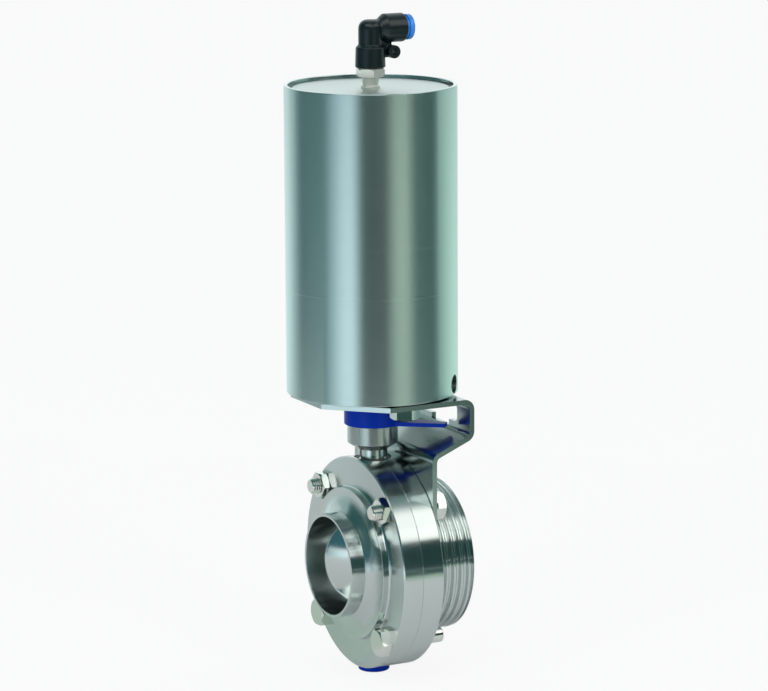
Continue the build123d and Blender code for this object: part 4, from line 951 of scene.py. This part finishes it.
# %% [markdown]
# Four holes go in after the melting: one for the stud's spigot, a wide one for the collet, a
# narrower one for the tube behind it, and the hole through the eyelet.

# %% Elbow
elbow = melted(elbow, MELT_GRID)
elbow_holes = [
    rod(4.58, ELBOW_LOW - 5, ELBOW_LOW + 9, UPRIGHT, 96),
    rod(5.85, 11.5, 30, branch, 96),
    rod(4.1, 7.5, 12, branch, 96),
    rod(1.6, -8, 8, eyelet, 48),
]
for hole in elbow_holes:
    elbow = combine(elbow, hole)
dress("fitting_elbow", elbow)

# %% [markdown]
# The pale blue collet is pressed to let go of the tube. It is a sleeve with a flange whose
# rounded edge a finger can feel. It slides on a body of its own, so it is a skin of its own.

# %% Collet
COLLET_BORE_R, COLLET_R, COLLET_FLANGE_R, FLANGE_FROM, FLANGE_TO = 4.1, 5.72, 6.4, 19.6, 22.3
collet_outline = [
    (COLLET_BORE_R, 15.4),
    (COLLET_R, 15.4),
    (COLLET_R, FLANGE_FROM),
    (COLLET_FLANGE_R, FLANGE_FROM, 0.3),
    (COLLET_FLANGE_R, FLANGE_TO, 0.8),
    (COLLET_BORE_R, FLANGE_TO, 0.5),
]
dress("release_collet", turned(rounded(collet_outline), branch, 96))

# %% [markdown]
# The floor is a wide pale sheet. To the camera most of it glows, so that it reads as white
# paper however the lamps stand. The rest is real shading, which keeps the valve's soft shadow.
# Reflections and the light that falls on the valve see a plain sheet of paper.

# %% Floor
FLOOR_Z, FLOOR_HALF, GLOW_SHARE = -57.7, 12.0, 0.88
floor_mesh = bpy.data.meshes.new("floor")
corners = [(x * FLOOR_HALF, y * FLOOR_HALF, FLOOR_Z * MM) for x, y in ((-1, -1), (1, -1), (1, 1), (-1, 1))]
floor_mesh.from_pydata(corners, [], [(0, 1, 2, 3)])
floor = put("floor", floor_mesh)

paper, paper_tree, paper_shader = new_material("paper", (0.9, 0.9, 0.9), 0.9)
glow = add_node(paper_tree, "ShaderNodeEmission", Color=(1, 1, 1, 1), Strength=1.0)
looked_at = add_node(paper_tree, "ShaderNodeLightPath")
share = worked_out(paper_tree, "MULTIPLY", looked_at.outputs["Is Camera Ray"], GLOW_SHARE)
sheet = mixed(paper_tree, share, paper_shader.outputs["BSDF"], glow.outputs["Emission"])
paper_tree.links.new(sheet, paper_tree.nodes["Material Output"].inputs["Surface"])
floor_mesh.materials.append(paper)
print("floor at", FLOOR_Z, "mm")

# %% [markdown]
# The world is a plain soft light. A picture of a studio wrapped round the scene would do more at
# once, but then no single reflection could be moved. The camera and the mirrors see this world
# as white, and everything else gets the dimmer, slightly cool light that fills the shadows.

# %% World
world = bpy.data.worlds.new("studio")
bpy.context.scene.world = world
world.use_nodes = True
sky = world.node_tree
fill = sky.nodes["Background"]
fill.inputs["Color"].default_value = (0.95, 0.99, 1.0, 1)
fill.inputs["Strength"].default_value = 0.6
white = add_node(sky, "ShaderNodeBackground", Color=(1, 1, 1, 1), Strength=1.0)
path = add_node(sky, "ShaderNodeLightPath").outputs
seen = worked_out(sky, "MAXIMUM", path["Is Camera Ray"], path["Is Glossy Ray"])
seen = worked_out(sky, "MAXIMUM", seen, path["Is Transmission Ray"])
backdrop = mixed(sky, seen, fill.outputs["Background"], white.outputs["Background"])
sky.links.new(backdrop, sky.nodes["World Output"].inputs["Surface"])
print("the world fills the shadows at", round(fill.inputs["Strength"].default_value, 2))

# %% [markdown]
# Bright steel shows whatever stands round it. In a white room it would vanish, so the valve
# stands on a white table in a darker room, and coloured cards lie and hang where the steel looks.
# Only reflections see the room: it does not shade the valve, and the camera looks through it.
# Each piece of the room is a line of points swept round the stem axis from one angle to another,
# counted from the camera's side. A card's colour fades from one stop to the next, because the
# edges of the light and dark bands in the photograph are soft.

# %% How a card is made
CAMERA_SIDE = 62.6
STEP_DEGREES = 2


def colour_at(stops, azimuth):
    """The colour at an azimuth, faded between the (azimuth, colour) stops on either side of it."""
    for (a, first), (b, second) in zip(stops, stops[1:]):
        if azimuth <= b:
            t = max(0.0, (azimuth - a) / (b - a))
            return [x + (y - x) * t for x, y in zip(first, second)]
    return stops[-1][1]


def swept(name, stops, line):
    """A line of (radius, height) points, in metres, swept round the stem axis and tinted."""
    first, last = stops[0][0], stops[-1][0]
    steps = max(2, int((last - first) / STEP_DEGREES))
    n = len(line)
    verts, faces, tints = [], [], []
    for k in range(steps + 1):
        azimuth = first + (last - first) * k / steps
        way = direction(CAMERA_SIDE + azimuth)
        verts += [way * r + Z * z for r, z in line]
        tints += [(*colour_at(stops, azimuth), 1)] * n
    for k in range(steps):
        faces += [(n * k + j, n * k + n + j, n * k + n + 1 + j, n * k + 1 + j) for j in range(n - 1)]
    mesh = bpy.data.meshes.new(name)
    mesh.from_pydata(verts, [], faces)
    layer = mesh.color_attributes.new("tint", "FLOAT_COLOR", "POINT")
    for point, tint in zip(layer.data, tints):
        point.color = tint
    return mesh


def card(name, stops, line, strength=1.0):
    """A glowing card that only reflections see."""
    mesh = swept(name, stops, line)
    cloth, tree, shader = new_material(name, (0, 0, 0), 1.0)
    shader.inputs["Specular IOR Level"].default_value = 0
    shader.inputs["Emission Strength"].default_value = strength
    painted = add_node(tree, "ShaderNodeAttribute")
    painted.attribute_name = "tint"
    tree.links.new(painted.outputs["Color"], shader.inputs["Emission Color"])
    mesh.materials.append(cloth)
    o = put(name, mesh)
    o.visible_camera = False
    o.visible_diffuse = False
    o.visible_shadow = False


# %% [markdown]
# The casing is upright and the camera looks down a little, so the casing mirrors the table. Mats
# lie there like the slices of a cake, and each gives one of its soft upright bands.

# %% Mats on the table
ROOM_R = 2.5
ground = FLOOR_Z * MM + 0.0005
PALE, COOL, TEAL = (0.82, 1.0, 1.0), (0.85, 1.0, 1.06), (0.50, 1.0, 1.04)
DUSK, GREEN, HAZE = (0.50, 1.0, 0.90), (0.83, 1.0, 0.81), (0.72, 1.0, 0.87)


def even(first, last, colour):
    """Stops for a card of one colour."""
    return [(first, colour), (last, colour)]


def faded(*stops):
    """Stops from (azimuth, tint, level) rows, where the level dims the tint."""
    return [(azimuth, [c * level for c in tint]) for azimuth, tint, level in stops]


left_mat = faded((-160, PALE, 1.0), (-137, PALE, 0.95), (-105, TEAL, 0.20), (-66, TEAL, 0.28))
middle_mat = faded(
    (-66, TEAL, 0.28),
    (-37, COOL, 1.40),
    (-26, COOL, 1.45),
    (-11, DUSK, 0.12),
    (0, DUSK, 0.03),
    (17, DUSK, 0.03),
    (34, GREEN, 0.88),
    (46, GREEN, 0.88),
    (62, DUSK, 0.22),
    (86, DUSK, 0.18),
    (119, HAZE, 0.85),
    (140, HAZE, 1.0),
)
back_mat = faded((140, HAZE, 1.0), (170, PALE, 0.75), (200, PALE, 1.0))
# The near mat is painted shade: a dim glowing sheet close round the valve's foot. The low front ring mirrors
# it in place of the shaded floor there.
near_shade_mat = even(-160, -92, (0.48, 0.58, 0.53))

card("left_mat", left_mat, [(0.60, ground), (ROOM_R, ground)])
card("middle_mat", middle_mat, [(0.38, ground), (ROOM_R, ground)])
card("near_shade_mat", near_shade_mat, [(0.02, ground + 0.001), (0.20, ground + 0.001)])
card("back_mat", back_mat, [(0.50, ground), (ROOM_R, ground)])
print("four mats at", round(ground, 4), "m, from", left_mat[0][0], "to", back_mat[-1][0], "degrees")

# %% [markdown]
# The walls are what the flanges, the rim and the bracket see. They are dark with a breath of
# colour, and paler behind and far to the left. A low sill on the table carries the darkness
# down to where the photograph's dark band on the rim ends.

# %% Walls
ROOM_TOP, WHITE_FROM, WHITE_TO = 4.0, 26, 55
wall = [(ROOM_R, 0.0), (ROOM_R, ROOM_TOP), (0.6, ROOM_TOP)]
SHADE, EDGE = (0.42, 0.55, 0.52), (0.75, 0.85, 0.85)


def at_height(elevation):
    """The height on the room's wall that lies this many degrees above the table."""
    return ROOM_R * math.tan(math.radians(elevation))


bright = (1.03, 1.12, 1.12)
back_wall = [(122, SHADE), (150, (0.50, 0.61, 0.60)), (170, bright), (188, bright), (200, EDGE)]
card("back_wall", back_wall, wall)
for name, first, last, colour in (
    ("left_edge", -160, -136, EDGE),
    ("left_shade", -136, -118, (0.38, 0.52, 0.52)),
    ("room_left", -118, -58, (0.04, 0.12, 0.12)),
    ("room_blue", -58, -20, (0.05, 0.16, 0.20)),
    ("room_middle", -20, 20, (0.02, 0.08, 0.075)),
    ("room_right", 20, 50, (0.03, 0.08, 0.08)),
):
    card(name, even(first, last, colour), wall)
card("low_wall", even(50, 98, (0.02, 0.05, 0.05)), [(ROOM_R, -0.1), (ROOM_R, at_height(WHITE_FROM))])
card("sill", even(-8, 98, (0.03, 0.08, 0.075)), [(0.58, ground), (0.58, -0.010)])
high_line = [(ROOM_R, at_height(WHITE_TO)), (ROOM_R, 5.2), (0.4, 5.2)]
card("high_wall", even(50, 150, (0.18, 0.28, 0.28)), high_line)
card("right_shade", even(98, 122, SHADE), [(ROOM_R, ground), (ROOM_R, at_height(WHITE_TO))])

# %% [markdown]
# White cards on the walls make the bright streaks: on the rim and the thread, on top of the hub
# and the coupling, and on the weld end. They hang just inside the wall, so that they hide it.

# %% White cards
INSIDE, BELOW = ROOM_R - 0.02, ROOM_TOP - 0.02
IVORY = (1.0, 0.99, 0.95)


def on_wall(low, high):
    """A line just inside the room's wall, between two elevations."""
    return [(INSIDE, at_height(low)), (INSIDE, at_height(high))]


card("white_card", even(50, 88, IVORY), on_wall(WHITE_FROM, WHITE_TO), 1.7)
card("rim_card", even(6, 50, IVORY), on_wall(27, 40), 1.8)
card("top_card", even(-28, 28, (1.0, 1.0, 1.0)), on_wall(36, 58), 2.0)
collar_line = [(INSIDE, at_height(42)), (INSIDE, BELOW), (2.0, BELOW)]
card("collar_card", even(-64, -28, (1.0, 1.0, 0.96)), collar_line, 2.2)

# %% [markdown]
# Two tall soft lamps stand left and right of the camera. They shade the plastics and the floor,
# and because they are large, the shadows have soft edges. The steel doesn't mirror them: its
# bands come from the cards alone, so the two can be set apart from each other.

# %% Lamps
LAMP_DISTANCE, LAMP_HEIGHT, LAMP_WIDTH, LAMP_TALL, LAMP_AIM = 1.7, 0.6, 0.6, 1.6, 0.1


def softbox(name, azimuth, power):
    """A tall area lamp that faces the valve."""
    data = bpy.data.lights.new(name, "AREA")
    data.shape = "RECTANGLE"
    data.size = LAMP_WIDTH
    data.size_y = LAMP_TALL
    data.energy = power
    lamp = put(name, data)
    where = direction(azimuth) * LAMP_DISTANCE + Z * LAMP_HEIGHT
    lamp.location = where
    lamp.rotation_euler = (where - Z * LAMP_AIM).to_track_quat("Z", "Y").to_euler()
    lamp.visible_glossy = False


softbox("left_lamp", CAMERA_SIDE - 38, 12)
softbox("right_lamp", CAMERA_SIDE + 40, 8)
print(len(bpy.data.lights), "lamps")
